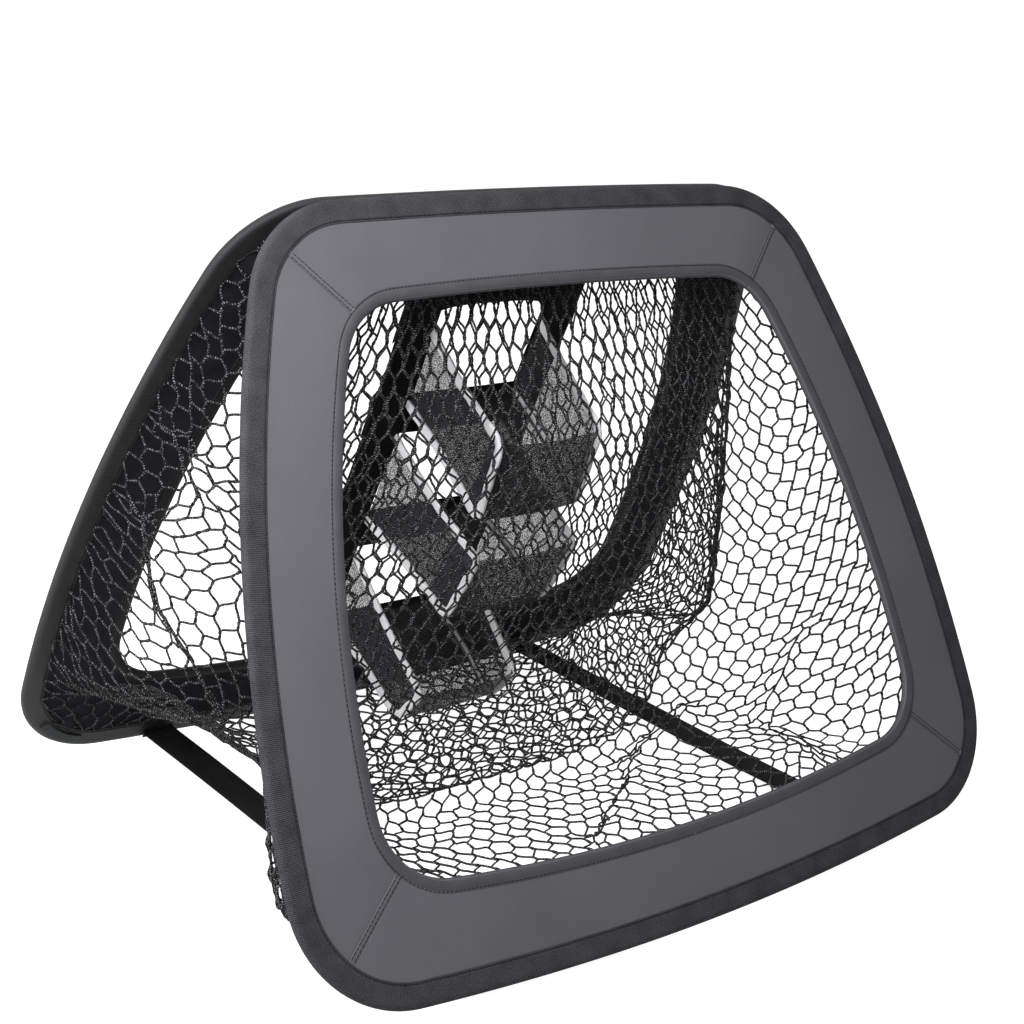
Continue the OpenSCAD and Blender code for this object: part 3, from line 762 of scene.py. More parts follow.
def addLegs():
    xWay, yWay, zWay = directions(1)
    y = np.linspace(windowBottom - ladder["lap"], windowTop + ladder["lap"], ladder["legSteps"])
    for label, way in leftRight:
        x = way * ladder["legX"] + 0.0008 * np.sin(y * 21 + way)
        z = legZ + ladder["thick"] / 2 + 0.0004 * np.sin(y * 33 + 2 * way)
        path = toWorld(np.column_stack([x, y, z]), 1)
        width = ladder["legWidth"] * (1 + 0.02 * np.sin(y * 47 + way))
        piece = addTape(f"ladder_leg_{label}", path, xWay, zWay, width, ladder["thick"],
                        finishes["target"], "target_panel")
        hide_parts(f"target_leg_{label}")
        groups = []
        for edge in (-1, 1):
            off = edge * (ladder["legWidth"] / 2 - ladder["stitchIn"])
            groups.append(stitchPaths(path + xWay * off - zWay * (ladder["thick"] / 2 + 0.00005), -zWay))
        addThreads(f"ladder_stitches_{label}", groups, finishes["thread"], "target_panel")


def addBars():
    steps, rows = ladder["barGrid"]
    x = np.linspace(-legOuter, legOuter, steps)
    line = mouth(trim["lip"] + ladder["clear"])
    line = line[np.argsort(line[:, 0])]
    upper = line[:, 1] > (topY + bottomY) / 2
    arcTop, arcLow = (np.interp(x, *line[part].T) for part in (upper, ~upper))
    hang = ladder["hang"] * (0.6 + 0.4 * (x / legInner) ** 4)
    spans = {
        "top": (np.minimum(arcTop, windowTop), mouthTops[0] - hang),
        "upper": (mouthBottoms[0], mouthTops[1]),
        "lower": (mouthBottoms[1], mouthTops[2]),
        "bottom": (mouthBottoms[2], arcLow),
    }
    t = np.linspace(0, 1, rows)[:, None]
    edge = 1 - np.minimum(1, np.abs(t - 0.5) * 2) ** 8
    dip = ladder["sag"] * np.sin(math.pi * (x + legOuter) / (2 * legOuter))
    for k, (label, (high, low)) in enumerate(spans.items()):
        sag = dip * (label in ("upper", "lower"))
        grid = np.dstack([np.tile(x, (rows, 1)), (high - sag) * (1 - t) + (low - sag) * t])
        base = legZ + ladder["thick"] + ripple(*ladder["wave"], 90 + k)(grid)
        top = base + ladder["thick"] * (0.55 + 0.45 * edge)
        under = base + ladder["thick"] * 0.45 * (1 - edge)
        piece = addSlab(f"ladder_bar_{label}", toWorld(np.dstack([grid, top]), 1),
                        toWorld(np.dstack([grid, under]), 1), grid[..., ::-1], finishes["target"],
                        "target_panel")
        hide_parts(f"target_bar_{label}")


addLegs()
addBars()
print("ladder done")

# Depths, lips and drops say how each pocket hangs, from the upper one to the lower one
pocket = {
    "depth": (0.105, 0.112, 0.104), "lip": (0.006, -0.008, -0.015), "sag": 0.007, "bulge": 0.004,
    "footDrops": ((0.008, 0.031), (0.008, 0.006), (0.004, 0.012)),
    "topDrops": ((0.025, 0.048), (0.002, 0.018), (0.004, 0.044)),
    "farShare": 0.91, "farDip": 0.004, "footBow": -0.004, "topBow": 0.002, "clear": 0.0006,
    "wave": (0.007, 0.0009), "steps": 30, "wall": 14, "floor": 18, "farRows": 16,
    "clothAround": 0.26, "farCloth": (0.095, 0.08),
}
piping = {"width": 0.0070, "thick": 0.0022, "steps": 90, "softened": 6, "uneven": 0.10}
pocketHalf = legInner + 0.0012 + 0.00025


# Corner points (y, z) of a pocket's side wall, which sags from the mouth to its far end
def pocketSide(i):
    (nearFoot, farFoot), (nearTop, farTop) = pocket["footDrops"][i], pocket["topDrops"][i]
    far = legZ - pocket["depth"][i]
    return {
        "mouthFoot": np.array([mouthBottoms[i] - nearFoot, legZ]),
        "farFoot": np.array([mouthBottoms[i] - farFoot, far]),
        "farTop": np.array([mouthTops[i] - farTop, far + pocket["lip"][i]]),
        "mouthTop": np.array([mouthTops[i] - nearTop, legZ]),
    }


def curveBetween(a, b, bow, count):
    t = np.linspace(0, 1, count)[:, None]
    way = unit(b - a)
    return a * (1 - t) + b * t + np.array([way[1], -way[0]]) * bow * np.sin(math.pi * t)


# Left wall, floor and right wall as one hanging trough: rows go from the mouth to the far end
def pocketTrough(i):
    corner, wall, steps = pocketSide(i), pocket["wall"], pocket["steps"]
    lower = curveBetween(corner["mouthFoot"], corner["farFoot"], pocket["footBow"], steps)
    upper = curveBetween(corner["mouthTop"], corner["farTop"], pocket["topBow"], steps)
    grid = np.zeros((steps, 2 * wall + pocket["floor"], 3))
    s, t = np.linspace(0, 1, steps), np.linspace(0, 1, wall)[:, None]
    for k in range(steps):
        half = (pocketHalf - pocket["clear"]) * (1 - (1 - pocket["farShare"]) * s[k] ** 2)
        down = upper[k] * (1 - t) + lower[k] * t
        out = pocket["bulge"] * math.sin(math.pi * s[k]) * np.sin(math.pi * t[:, 0]) * 0.5
        floorX = np.linspace(-half, half, pocket["floor"] + 2)[1:-1]
        fall = 0.3 + 0.7 * math.sin(math.pi * min(1, 0.15 + s[k]))
        floorY = lower[k][0] - pocket["sag"] * (1 - (floorX / half) ** 2) * fall
        grid[k, :wall] = np.column_stack([-half - out, down])
        grid[k, -wall:] = np.column_stack([half + out[::-1], down[::-1]])
        grid[k, wall:-wall] = np.column_stack([floorX, floorY, np.full(len(floorX), lower[k][1])])
    grid[..., 2] += ripple(*pocket["wave"], 120 + i)(grid) * np.sin(math.pi * s)[:, None]
    return grid


# The far wall hangs between the trough's two side walls
def pocketEnd(grid):
    rows, wall = pocket["farRows"], pocket["wall"]
    t = np.linspace(0, 1, rows)[:, None, None]
    end = grid[-1, :wall][None] * (1 - t) + grid[-1, -wall:][::-1][None] * t
    down = np.linspace(0, 1, wall)[None, :]
    middle = 1 - np.linspace(-1, 1, rows)[:, None] ** 2
    end[..., 1] -= pocket["sag"] * middle * down ** 3 * 0.44
    end[..., 2] -= pocket["bulge"] * middle * np.sin(math.pi * down) * 0.9
    end[..., 1] -= pocket["farDip"] * middle * (1 - down)
    return end


def clothUvs(rows, columns, down, across):
    return np.stack(np.meshgrid(np.linspace(0, across, columns), np.linspace(0, down, rows)), -1)


def addPocket(i, label):
    grid = pocketTrough(i)
    end = pocketEnd(grid)
    faces, endFaces = (gridFaces(*part.shape[:2])[0] for part in (grid, end))
    uv = clothUvs(*grid.shape[:2], pocket["depth"][i], pocket["clothAround"])
    endUv = clothUvs(*end.shape[:2], *pocket["farCloth"])[..., ::-1]
    points = np.vstack([toWorld(grid, 1).reshape(-1, 3), toWorld(end, 1).reshape(-1, 3)])
    uvs = np.concatenate([uv.reshape(-1, 2)[faces], endUv.reshape(-1, 2)[endFaces]])
    allFaces = np.vstack([faces, endFaces + grid.shape[0] * grid.shape[1]])
    piece = addMesh(f"pocket_mesh_{label}", points, allFaces, uvs, finishes["mesh"],
                    "target_panel")
    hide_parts(f"pocket_{label}")
    addPiping(i, label, grid)
    return piece


# Folded light tape along the edges of both side walls
def addPiping(i, label, grid):
    wall, steps = pocket["wall"], piping["steps"]
    allPoints, allFaces, allUvs, count = [], [], [], 0
    for way, lower, upper in ((-1, grid[:, wall - 1], grid[:, 0]), (1, grid[:, -wall], grid[:, -1])):
        far = grid[-1, :wall] if way < 0 else grid[-1, -wall:][::-1]
        line = resample(np.vstack([upper[:-1], far[:-1], lower[::-1]]), steps)
        for turn in range(piping["softened"]):
            line[1:-1] = (line[:-2] + line[1:-1] * 2 + line[2:]) / 4
        out = np.array([way, 0.0, 0.0])
        across = unit(np.cross(out, unit(np.gradient(line, axis=0))))
        width = piping["width"] * (1 + piping["uneven"] * np.sin(np.arange(steps) * 0.9 + i))
        skin = tapeSkin(line + out * piping["thick"] / 2, across, out, width, piping["thick"])
        points, faces, cells, along, over = skin
        over = over * piping["width"] / 2
        if way > 0:
            faces, cells = faces[:, ::-1], cells[:, ::-1]
        allUvs.append(np.stack([along[cells[..., 0]], over[cells[..., 1]]], -1))
        allPoints.append(toWorld(points, 1).reshape(-1, 3))
        allFaces.append(faces + count)
        count += points.shape[0] * points.shape[1]
    piece = addMesh(f"pocket_edging_{label}", np.vstack(allPoints), np.vstack(allFaces),
                    np.concatenate(allUvs), finishes["piping"], "target_panel")
    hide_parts(f"pocket_piping_{label}")
    return piece


pocketNames = ("upper", "middle", "lower")
pocketPieces = [addPocket(i, label) for i, label in enumerate(pocketNames)]
print("pockets done")

strap = {"x": 0.181, "width": 0.025, "thick": 0.0016, "z": 0.0095, "sag": 0.0025, "steps": 110}
bag = {
    "rim": 0.0145, "fine": 8, "tuck": 0.0010, "swell": 0.022, "fill": {-1: 0.88, 1: 1.0},
    "round": {-1: 0.35, 1: 0.20}, "gap": 0.005, "least": 0.0015,
    "floor": 0.004, "strapRoom": 0.017, "strapMargin": 0.020, "floorBend": 0.020,
    "bulgeAbove": 0.048, "bulgeBelow": 0.110, "bulgeHalfWidth": pocketHalf + 0.085,
    "bulgeMiddle": 0.060, "bulgeDepth": 0.038, "dentMargin": 0.016,
    "drawn": (0.150, 0.220), "drawnHeight": (0.06, 0.16),
    "tableStep": 0.004, "tableX": (-0.312, 0.3121), "tableY": (-0.512, 0.0081),
}
# The springs take up a share of what a thread has too much: taut ones nearly all of it.
# rowShare is how much of a leg's length a row takes up, and held threads yield by heldEase.
net = {
    "columns": 44, "rows": 47, "leg": 0.0106, "bar": 0.0042, "cell": 0.0160, "rowShare": 0.7,
    "legSpread": (0.86, 1.14), "barSpread": (0.88, 1.12), "turns": 700, "step": 1.6,
    "taut": 0.9, "push": 0.03, "even": 0.12, "pull": 0.00004, "heldEase": 0.96,
    "radius": 0.00086, "strand": 0.85, "twist": 0.7, "legSteps": 9, "barSteps": 5,
    "swing": (0.85, 0.8), "wave": 0.30, "bend": (0.6, 0.006), "bendLean": 0.5,
    "jitter": 0.00004, "uneven": 0.0006, "shareSteps": 61,
}
# Where the nets bunch up: shares across and down each bag, how strongly, and how widely
gathers = {
    -1: [
        ([(0.92, 0.70), (0.90, 0.75), (0.88, 0.81), (0.86, 0.88)], 0.86, 0.030),
        ([(0.74, 0.77), (0.63, 0.84), (0.47, 0.90), (0.44, 0.98)], 0.90, 0.036),
    ],
    1: [
        ([(0.02, 0.47), (0.04, 0.57), (0.07, 0.61), (0.10, 0.66), (0.14, 0.76), (0.18, 0.90)], 0.95, 0.062),
        ([(0.02, 0.33), (0.05, 0.39), (0.11, 0.48)], 0.90, 0.034),
        ([(0.97, 0.50), (0.93, 0.62), (0.87, 0.76), (0.82, 0.88)], 0.90, 0.045),
        ([(0.51, 0.98), (0.50, 0.90), (0.44, 0.82)], 0.85, 0.040),
    ],
}


# From 0 at start to 1 at end, with soft ends
def rise(value, start, end):
    t = np.clip((value - start) / (end - start), 0, 1)
    return t * t * (3 - 2 * t)


# The upper pocket pushes both bags out of the middle, and they hang straight below it
def bulgeAt(x, y, margin):
    away = y - (mouthTops[0] - bag["bulgeMiddle"])
    reach = np.where(away > 0, bag["bulgeAbove"], bag["bulgeBelow"]) + margin
    return np.exp(-(x / bag["bulgeHalfWidth"]) ** 2) * np.exp(-(away / reach) ** 2)


def pocketBulge(x, y, side):
    if side > 0:
        return bag["bulgeDepth"] * bulgeAt(x, y, 0)
    opening = 2 * panel["lean"]
    dent = bag["bulgeDepth"] * math.cos(opening) + 2 * bag["gap"]
    return -dent * bulgeAt(x, y + bag["bulgeDepth"] * math.sin(opening), bag["dentMargin"])


# How deep a bag can hang between the panels and over the floor and the straps
def freeDepth(x, y, side):
    overStrap = np.exp(-((np.abs(x) - strap["x"]) / (strap["width"] + bag["strapMargin"])) ** 2)
    clear = bag["floor"] + bag["strapRoom"] * overStrap
    middle = -y * math.tan(panel["lean"]) - bag["gap"] + pocketBulge(x, y, side)
    middle = middle * (1 - bag["round"][side] * (x / panel["bottomHalf"]) ** 2)
    ground = (hingeZ + y * leanCos - clear) / leanSin
    # a soft minimum, so that the net turns over the floor in a bend
    bend = bag["floorBend"]
    blend = np.maximum(0, bend - np.abs(middle - ground)) / bend
    depth = np.maximum(bag["least"], np.minimum(middle, ground) - blend * blend * bend / 4)
    if side > 0:
        # the far bag is drawn in at its lower corners
        low = 1 - rise(hingeZ + y * leanCos, *bag["drawnHeight"])
        depth = np.maximum(bag["least"], depth * (1 - low * rise(np.abs(x), *bag["drawn"])))
    return depth


def insideOutline(x, y, edge):
    count = np.zeros(x.shape, int)
    for p, q in zip(edge, np.roll(edge, -1, 0)):
        low, high = min(p[1], q[1]), max(p[1], q[1])
        if high > low:
            at = p[0] + (y - p[1]) * (q[0] - p[0]) / (q[1] - p[1])
            count += (y >= low) & (y < high) & (x < at)
    return count % 2 == 1


# Depth of a bag over a grid on the panel, looked up later by position
def depthTable(side):
    step = bag["tableStep"]
    xs, ys = np.arange(*bag["tableX"], step), np.arange(*bag["tableY"], step)
    x, y = np.meshgrid(xs, ys, indexing="ij")
    edge = rim(bag["rim"], 6)
    away = np.min(np.hypot(x[..., None] - edge[:, 0], y[..., None] - edge[:, 1]), axis=2)
    depth = freeDepth(x, y, side) * bag["fill"][side] * (1 - np.exp(-away / bag["swell"]))
    return xs[0], ys[0], step, np.where(insideOutline(x, y, edge), depth, 0)


# A table's value and its slopes along x and y
def lookUp(table, x, y):
    x0, y0, step, depth = table
    fx = np.clip((x - x0) / step, 0, depth.shape[0] - 1.001)
    fy = np.clip((y - y0) / step, 0, depth.shape[1] - 1.001)
    i, j = fx.astype(int), fy.astype(int)
    u, v = fx - i, fy - j
    a, b = depth[i, j], depth[i + 1, j]
    c, d = depth[i, j + 1], depth[i + 1, j + 1]
    value = (a * (1 - u) + b * u) * (1 - v) + (c * (1 - u) + d * u) * v
    slopeX = ((b - a) * (1 - v) + (d - c) * v) / step
    slopeY = ((c - a) * (1 - u) + (d - b) * u) / step
    return value, slopeX, slopeY


# The rim split into four sides that meet in the middle of the corners
def rimSides():
    line = rim(bag["rim"], bag["fine"])
    low, top = (k * bag["fine"] for k in cornerMiddles)
    size = len(line)
    ring = np.vstack([line, line])
    return {
        "right": ring[low:top + 1][::-1],
        "top": ring[top:size - top + 1][::-1],
        "left": ring[size - top:size - low + 1],
        "bottom": ring[size - low:low + size + 1],
    }


def sidePoint(line, t):
    along = lengths(line)
    want = np.clip(t, 0, 1) * along[-1]
    return np.stack([np.interp(want, along, line[:, k]) for k in range(2)], -1)


# A flat position for net coordinates u (left to right) and v (top to bottom)
def spreadNet(u, v, sides):
    u, v = np.clip(u, 0, 1), np.clip(v, 0, 1)
    top, bottom = sidePoint(sides["top"], u), sidePoint(sides["bottom"], u)
    left, right = sidePoint(sides["left"], v), sidePoint(sides["right"], v)
    u, v = u[..., None], v[..., None]
    (a, b), (c, d) = sides["top"][[0, -1]], sides["bottom"][[0, -1]]
    corners = (1 - u) * (1 - v) * a + u * (1 - v) * b + (1 - u) * v * c + u * v * d
    return (1 - v) * top + v * bottom + (1 - u) * left + u * right - corners


# Nodes of the net: each short bar has an upper and a lower end, and two legs leave each end
def netLattice():
    columns, rows = net["columns"], net["rows"]
    ids, spots, fixed = {}, [], []
    barShare = net["bar"] / (net["bar"] + net["leg"] * net["rowShare"])
    for j in range(rows + 1):
        for i in range(columns + 1 - j % 2):
            u = (i + 0.5 * (j % 2)) / columns
            for end in (0, 1):
                ids[i, j, end] = len(spots)
                spots.append((u, (j + (end - 0.5) * barShare) / rows))
                fixed.append(j in (0, rows) or u in (0.0, 1.0))
    bars = [(ids[i, j, 0], ids[i, j, 1]) for i, j, end in ids if end == 0]
    legs = [
        (ids[i, j, 1], ids[i + step, j + 1, 0]) for i, j, end in ids if end == 1
        for step in ((0, 1) if j % 2 else (-1, 0)) if (i + step, j + 1, 0) in ids]
    cells = [(ids[i, j, end], ids[i + 1, j, end]) for i, j, end in ids if (i + 1, j, end) in ids]
    return np.array(spots), np.array(fixed), np.array(bars), np.array(legs), np.array(cells)


# The point of a line of points that is nearest to each spot, and how far off it is
def nearestOn(line, spots):
    best, found = np.full(len(spots), 1e9), spots.copy()
    for p, q in zip(line[:-1], line[1:]):
        t = np.clip((spots - p) @ (q - p) / ((q - p) @ (q - p)), 0, 1)[:, None]
        at = p + (q - p) * t
        gap = np.linalg.norm(spots - at, axis=1)
        closer = gap < best
        best[closer], found[closer] = gap[closer], at[closer]
    return found, best


def gatherNet(spots, side):
    moved, held = spots.copy(), np.zeros(len(spots))
    for line, strength, reach in gathers[side]:
        at, gap = nearestOn(np.array(line), moved)
        share = strength * np.exp(-(gap / reach) ** 4)
        moved += (at - moved) * share[:, None]
        held = np.maximum(held, share)
    return moved, held


# Shares of the cloth turned into shares across and down the panel, so that the net lies
# as evenly on the bag's steep sides as on its flat parts
def evenShares(spots, sides, table):
    t = np.linspace(0, 1, net["shareSteps"])
    u, v = np.meshgrid(t, t, indexing="ij")
    flat = spreadNet(u, v, sides)
    points = np.dstack([flat, lookUp(table, flat[..., 0], flat[..., 1])[0]])
    found = []
    for axis in (0, 1):
        steps = np.linalg.norm(np.diff(points, axis=axis), axis=2)
        steps = steps if axis == 0 else steps.T
        along = np.vstack([np.zeros(len(t)), np.cumsum(steps, axis=0)])
        inverse = np.array([np.interp(t * line[-1], line, t) for line in along.T])
        found.append(lookUp((0, 0, t[1], inverse), spots[:, 1 - axis], spots[:, axis])[0])
    return np.column_stack(found)


# The net settles on the bag's surface: twine can't stretch, hardly resists being pushed
# together, and its weight draws it down
def settleNet(side, table):
    spots, fixed, bars, legs, cells = netLattice()
    sides = rimSides()
    moved, held = gatherNet(evenShares(spots, sides, table), side)
    edge = (spots < 0.003) | (spots > 0.997)
    moved[edge] = spots[edge]
    flat = spreadNet(moved[:, 0], moved[:, 1], sides)
    rng = np.random.default_rng(300 + side)
    nodes = np.column_stack([flat, -lookUp(table, flat[:, 0], flat[:, 1])[0]])
    nodes[fixed, 2] = bag["tuck"]
    pinned = nodes[fixed].copy()
    a, b = np.vstack([bars, legs, cells]).T
    threads = len(bars) + len(legs)
    spring = net["push"] * (1 - net["heldEase"] * np.maximum(held[a], held[b]))
    taut = np.where(np.arange(len(a)) < threads, net["taut"], net["even"])
    free = (1 - held)[:, None] ** 2
    rest = np.concatenate([
        net["bar"] * rng.uniform(*net["barSpread"], len(bars)),
        net["leg"] * rng.uniform(*net["legSpread"], len(legs)), np.full(len(cells), net["cell"])])
    down = -np.array([0, leanCos, leanSin]) * net["pull"]
    links = np.bincount(np.concatenate([a[:threads], b[:threads]]), minlength=len(nodes))
    for turn in range(net["turns"]):
        gap = nodes[b] - nodes[a]
        size = np.linalg.norm(gap, axis=1)
        over = size - rest
        stiff = np.where(over > 0, taut, spring)
        push = gap / np.maximum(size, 1e-9)[:, None] * (over * stiff * 0.5)[:, None]
        move = np.stack([np.bincount(a, column, len(nodes)) - np.bincount(b, column, len(nodes))
                         for column in push.T], -1)
        nodes += (move / links[:, None] * net["step"] + down) * free
        depth, slopeX, slopeY = lookUp(table, nodes[:, 0], nodes[:, 1])
        slope = np.column_stack([slopeX, slopeY, np.ones(len(nodes))])
        nodes -= slope * ((nodes[:, 2] + depth) / (slope ** 2).sum(1))[:, None]
        nodes[fixed] = pinned
    depth, slopeX, slopeY = lookUp(table, nodes[:, 0], nodes[:, 1])
    normals = unit(np.column_stack([slopeX, slopeY, np.ones(len(nodes))]))
    return nodes, normals, bars, legs, rest[len(bars):threads]


def hermite(p, q, tp, tq, steps):
    t = np.linspace(0, 1, steps)[None, :, None]
    h0, h1 = 2 * t ** 3 - 3 * t ** 2 + 1, t ** 3 - 2 * t ** 2 + t
    h2, h3 = -2 * t ** 3 + 3 * t ** 2, t ** 3 - t ** 2
    return p[:, None] * h0 + tp[:, None] * h1 + q[:, None] * h2 + tq[:, None] * h3


# Legs leave the bars along them, and slack ones swing wider
def legThreads(nodes, normals, barWay, legs, legLengths, rng):
    p, q = nodes[legs[:, 0]], nodes[legs[:, 1]]
    chord = np.linalg.norm(q - p, axis=1)
    slack = np.maximum(legLengths - chord, 0)
    reach = (chord * net["swing"][0] + slack * net["swing"][1])[:, None]
    paths = hermite(p, q, barWay[legs[:, 0]] * reach, barWay[legs[:, 1]] * reach, net["legSteps"])
    normal = unit(normals[legs[:, 0]] + normals[legs[:, 1]])
    # what a slack leg has too much of goes into a bend, mostly along the surface
    share, most = net["bend"]
    bend = share * np.sqrt(np.minimum(slack, most) * np.maximum(chord, 0.001)) * net["wave"]
    lean = rng.normal(0, net["bendLean"], len(legs))
    way = np.sign(rng.normal(0, 1, len(legs))) * np.cos(lean) * bend
    across = np.cross(unit(q - p), normal) * way[:, None] + normal * (np.sin(lean) * bend)[:, None]
    t = np.linspace(0, 1, net["legSteps"])[None, :, None]
    hump, double = np.sin(math.pi * t) ** 2, np.sin(2 * math.pi * t)
    mix = rng.uniform(0, 1, (len(legs), 1, 1))
    paths = paths + across[:, None] * (hump * mix + double * (1 - mix))
    paths = paths + rng.normal(0, net["jitter"], paths.shape) * (hump > 0.01)
    return paths, np.repeat(normal[:, None], net["legSteps"], 1)


# A bar is two strands twisted half a turn round each other
def barThreads(nodes, normals, way, bars):
    a, b = nodes[bars[:, 0]], nodes[bars[:, 1]]
    t = np.linspace(0, 1, net["barSteps"])[None, :, None]
    line = a[:, None] * (1 - t) + b[:, None] * t
    normal = unit(normals[bars[:, 0]] + normals[bars[:, 1]])[:, None]
    sideways = unit(np.cross(way[:, None], normal))
    offset = sideways * np.cos(math.pi * t) + normal * np.sin(math.pi * t)
    return line, offset * net["radius"] * net["strand"] * net["twist"], np.broadcast_to(normal, line.shape)


def addNet(side):
    nodes, normals, bars, legs, legLengths = settleNet(side, depthTable(side))
    rng = np.random.default_rng(500 + side)
    nodes = nodes + rng.normal(0, net["uneven"], nodes.shape)
    way = unit(nodes[bars[:, 1]] - nodes[bars[:, 0]])
    barWay = np.zeros_like(nodes)
    barWay[bars[:, 0]], barWay[bars[:, 1]] = way, way
    legPaths, legNormals = legThreads(nodes, normals, barWay, legs, legLengths, rng)
    line, offset, barNormals = barThreads(nodes, normals, way, bars)
    radius = net["radius"]
    strand = radius * net["strand"]
    threads = ((legPaths, legNormals, radius), (line + offset, barNormals, strand),
               (line - offset, barNormals, strand))
    groups = [(toWorld(paths, side), turned(across, side), size) for paths, across, size in threads]
    piece = addThreads(sideName[side] + "_net", groups, finishes["net"], bodyOf[side])
    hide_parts(sideName[side] + "_net_bag")
    return piece


netPieces = {side: addNet(side) for side in bodyOf}
print("nets:", [len(p.data.polygons) for p in netPieces.values()])

strapY = -(hingeZ - strap["z"]) / leanCos


def addStraps():
    reach = -strapY * leanSin - strap["thick"] / leanCos - strap["thick"] / 2 * math.tan(panel["lean"])
    for label, way in leftRight:
        y = np.linspace(-reach, reach, strap["steps"])
        dip = strap["sag"] * (1 - (y / reach) ** 2)
        path = np.column_stack([way * strap["x"] + 0.0012 * np.sin(y * 14), y, strap["z"] - dip])
        tilt = 0.05 * np.sin(y * 9 + way)
        flat = np.zeros(len(y))
        across = np.column_stack([np.cos(tilt), flat, np.sin(tilt)])
        face = np.column_stack([-np.sin(tilt), flat, np.cos(tilt)])
        piece = addTape(f"floor_strap_{label}", path, across, face, strap["width"], strap["thick"],
                        finishes["strap"], None)
        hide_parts(f"strap_{label}")
        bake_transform(piece)


tab = {"half": 0.0035, "bow": 0.0004, "steps": 12}


def addTabs(side):
    xWay, yWay, zWay = directions(side)
    for label, way in leftRight:
        x = np.full(tab["steps"], way * strap["x"])
        y = strapY + np.linspace(-tab["half"], tab["half"], tab["steps"])
        z = -strap["thick"] / 2 - tab["bow"] * np.sin(np.linspace(0, math.pi, tab["steps"]))
        path = toWorld(np.column_stack([x, y, z]), side)
        addTape(f"{sideName[side]}_strap_tab_{label}", path, xWay, zWay, strap["width"],
                              strap["thick"], finishes["strap"], bodyOf[side])
    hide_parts(sideName[side] + "_strap_tabs")


peg = {
    "turn": 34, "middle": -52, "width": 0.0074, "edge": 0.005, "thick": 0.0012, "loop": 0.0014, "steps": 40,
}


# A tape sewn down at its ends round each lower corner, standing off in a loop between
def addPegLoops(side):
    (sideC, sideR), (lowC, lowR) = edgeArcs(panel["bows"])[1:]
    centre = meetRight(lowC, lowR - panel["corner"], sideC, sideR - panel["corner"])
    radius = panel["corner"] - peg["edge"] - peg["width"] / 2
    t = np.linspace(-0.5, 0.5, peg["steps"])
    turn = np.radians(peg["middle"] + peg["turn"] * t)
    z = -peg["thick"] / 2 - peg["loop"] * np.cos(math.pi * t) ** 0.7
    for label, way in leftRight:
        radial = np.column_stack([way * np.cos(turn), np.sin(turn), np.zeros(len(t))])
        x, y = way * (centre[0] + radius * np.cos(turn)), centre[1] + radius * np.sin(turn)
        path = toWorld(np.column_stack([x, y, z]), side)
        addTape(f"{sideName[side]}_peg_loop_{label}", path, turned(radial, side),
                              directions(side)[2], peg["width"], peg["thick"], finishes["peg"],
                              bodyOf[side])
    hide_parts(sideName[side] + "_peg_tabs")


hingeRoll = {"share": 0.6, "drop": 0.0029, "bow": 0.0016, "steps": 200, "sides": 20}


def addHingeRoll():
    steps, sides = hingeRoll["steps"], hingeRoll["sides"]
    x = np.linspace(rollLow.x, rollHigh.x, steps)
    radius = (rollHigh.z - rollLow.z) / 2 * hingeRoll["share"]
    turn = np.arange(sides) * 2 * math.pi / sides
    swell = radius * (0.96 + 0.04 * np.sin(x * 420))
    swell[[0, -1]] *= 0.6
    points = np.zeros((steps, sides, 3))
    points[..., 0] = x[:, None]
    points[..., 1] = swell[:, None] * np.sin(turn)
    middle = hingeZ - hingeRoll["drop"] - hingeRoll["bow"] * (x / rollHigh.x) ** 2
    points[..., 2] = middle[:, None] + swell[:, None] * np.cos(turn)
    faces, cells = gridFaces(steps, sides, False, True)
    uvs = np.stack([x[cells[..., 0]], cells[..., 1] / sides * 2 * math.pi * radius], -1)
    piece = addMesh("hinge_seam_roll", points.reshape(-1, 3), faces, uvs, finishes["ribbed"],
                    "root")
    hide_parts("hinge_roll")


addStraps()
for side in bodyOf:
    addTabs(side)
    addPegLoops(side)
addHingeRoll()
print("straps, tabs and loops done")

# The steel parts keep their own shape
for side in bodyOf:
    for part in ("spring_wire", "wire_sleeve"):
        node = frame["nodes"][f"{sideName[side]}_{part}"]
        node.data.materials.clear()
        node.data.materials.append(finishes["steel"])


for side, piece in netPieces.items():
    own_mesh(piece)
for piece in pocketPieces + [bpy.data.objects[f"pocket_edging_{label}"] for label in pocketNames]:
    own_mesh(piece)
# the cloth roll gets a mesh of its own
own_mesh(bpy.data.objects["hinge_seam_roll"])

studio = {
    "floorHalf": 200.0, "floorColour": 0.5, "floorRoughness": 0.9, "floorLift": 0.94,
    "worldLight": 0.11, "aim": (0, 0, 0.22),
}
lamps = {
    "key": {"place": (-0.48, -0.38, 0.84), "size": 0.5, "power": 11.5},
    "side": {"place": (-1.5, 0.10, 0.50), "size": 0.8, "power": 20},
    "back": {"place": (0.4, 2.0, 1.9), "size": 1.6, "power": 12},
}


def mathNode(tree, how, first, second):
    made = tree.nodes.new("ShaderNodeMath")
    made.operation = how
    for spot, value in zip(made.inputs, (first, second)):
        if isinstance(value, bpy.types.NodeSocket):
            tree.links.new(value, spot)
        else:
            spot.default_value = value
    return made.outputs[0]


# 1 for rays that show what is there, 0 for rays that only carry light
def seenDirectly(tree):
    path = tree.nodes.new("ShaderNodeLightPath")
    seen = mathNode(tree, "MAXIMUM", path.outputs["Is Camera Ray"], path.outputs["Is Glossy Ray"])
    return mathNode(tree, "MAXIMUM", seen, path.outputs["Is Transmission Ray"])


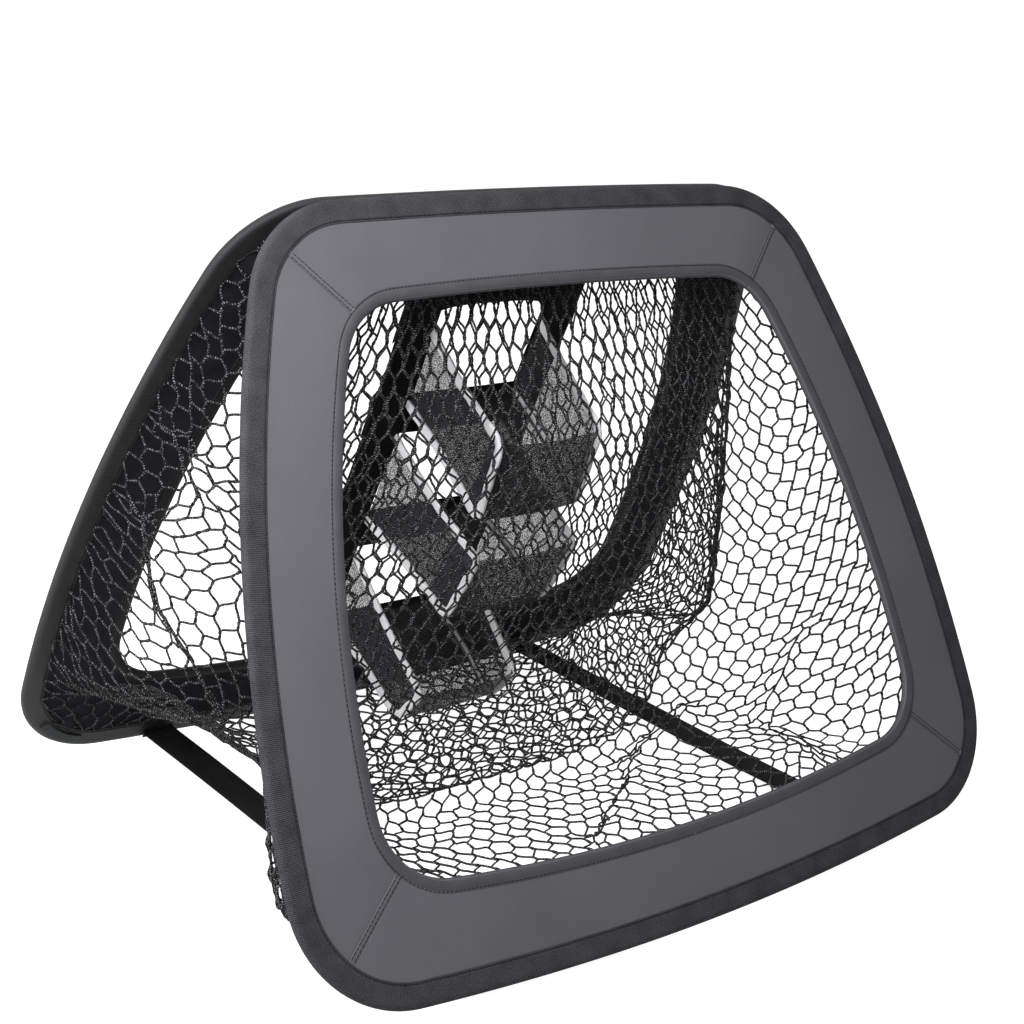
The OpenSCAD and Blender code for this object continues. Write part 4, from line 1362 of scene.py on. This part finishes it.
def addWorld():
    world = bpy.data.worlds.new("studio")
    bpy.context.scene.world = world
    world.use_nodes = True
    tree = world.node_tree
    plain, white = tree.nodes["Background"], tree.nodes.new("ShaderNodeBackground")
    for shader, strength in ((plain, studio["worldLight"]), (white, 1.0)):
        shader.inputs["Color"].default_value = (1, 1, 1, 1)
        shader.inputs["Strength"].default_value = strength
    mixed = tree.nodes.new("ShaderNodeMixShader")
    for spot, value in zip(mixed.inputs, (seenDirectly(tree), plain.outputs[0], white.outputs[0])):
        tree.links.new(value, spot)
    tree.links.new(mixed.outputs[0], tree.nodes["World Output"].inputs[0])


def addLamps():
    for key, lamp in lamps.items():
        data = bpy.data.lights.new(key, "AREA")
        data.energy, data.size = lamp["power"], lamp["size"]
        light = bpy.data.objects.new(key, data)
        light.location = lamp["place"]
        aim = Vector(studio["aim"]) - light.location
        light.rotation_euler = aim.to_track_quat("-Z", "Y").to_euler()
        bpy.context.scene.collection.objects.link(light)


# The camera sees the lit floor lifted to white, so it keeps the object's shadow
def floorFinish():
    finish = bpy.data.materials.new("paleFloor")
    finish.use_nodes = True
    tree = finish.node_tree
    shader = tree.nodes["Principled BSDF"]
    shader.inputs["Base Color"].default_value = (studio["floorColour"],) * 3 + (1,)
    shader.inputs["Roughness"].default_value = studio["floorRoughness"]
    lift, summed = tree.nodes.new("ShaderNodeEmission"), tree.nodes.new("ShaderNodeAddShader")
    share = mathNode(tree, "MULTIPLY", seenDirectly(tree), studio["floorLift"])
    tree.links.new(share, lift.inputs["Strength"])
    tree.links.new(shader.outputs[0], summed.inputs[0])
    tree.links.new(lift.outputs[0], summed.inputs[1])
    tree.links.new(summed.outputs[0], tree.nodes["Material Output"].inputs[0])
    return finish


def addFloor():
    half = studio["floorHalf"]
    corners = [(-half, -half, 0), (half, -half, 0), (half, half, 0), (-half, half, 0)]
    mesh = bpy.data.meshes.new("floor")
    mesh.from_pydata(corners, [], [(0, 1, 2, 3)])
    mesh.materials.append(floorFinish())
    floor = bpy.data.objects.new("floor", mesh)
    bpy.context.scene.collection.objects.link(floor)


addWorld()
addLamps()
addFloor()
print("studio done")
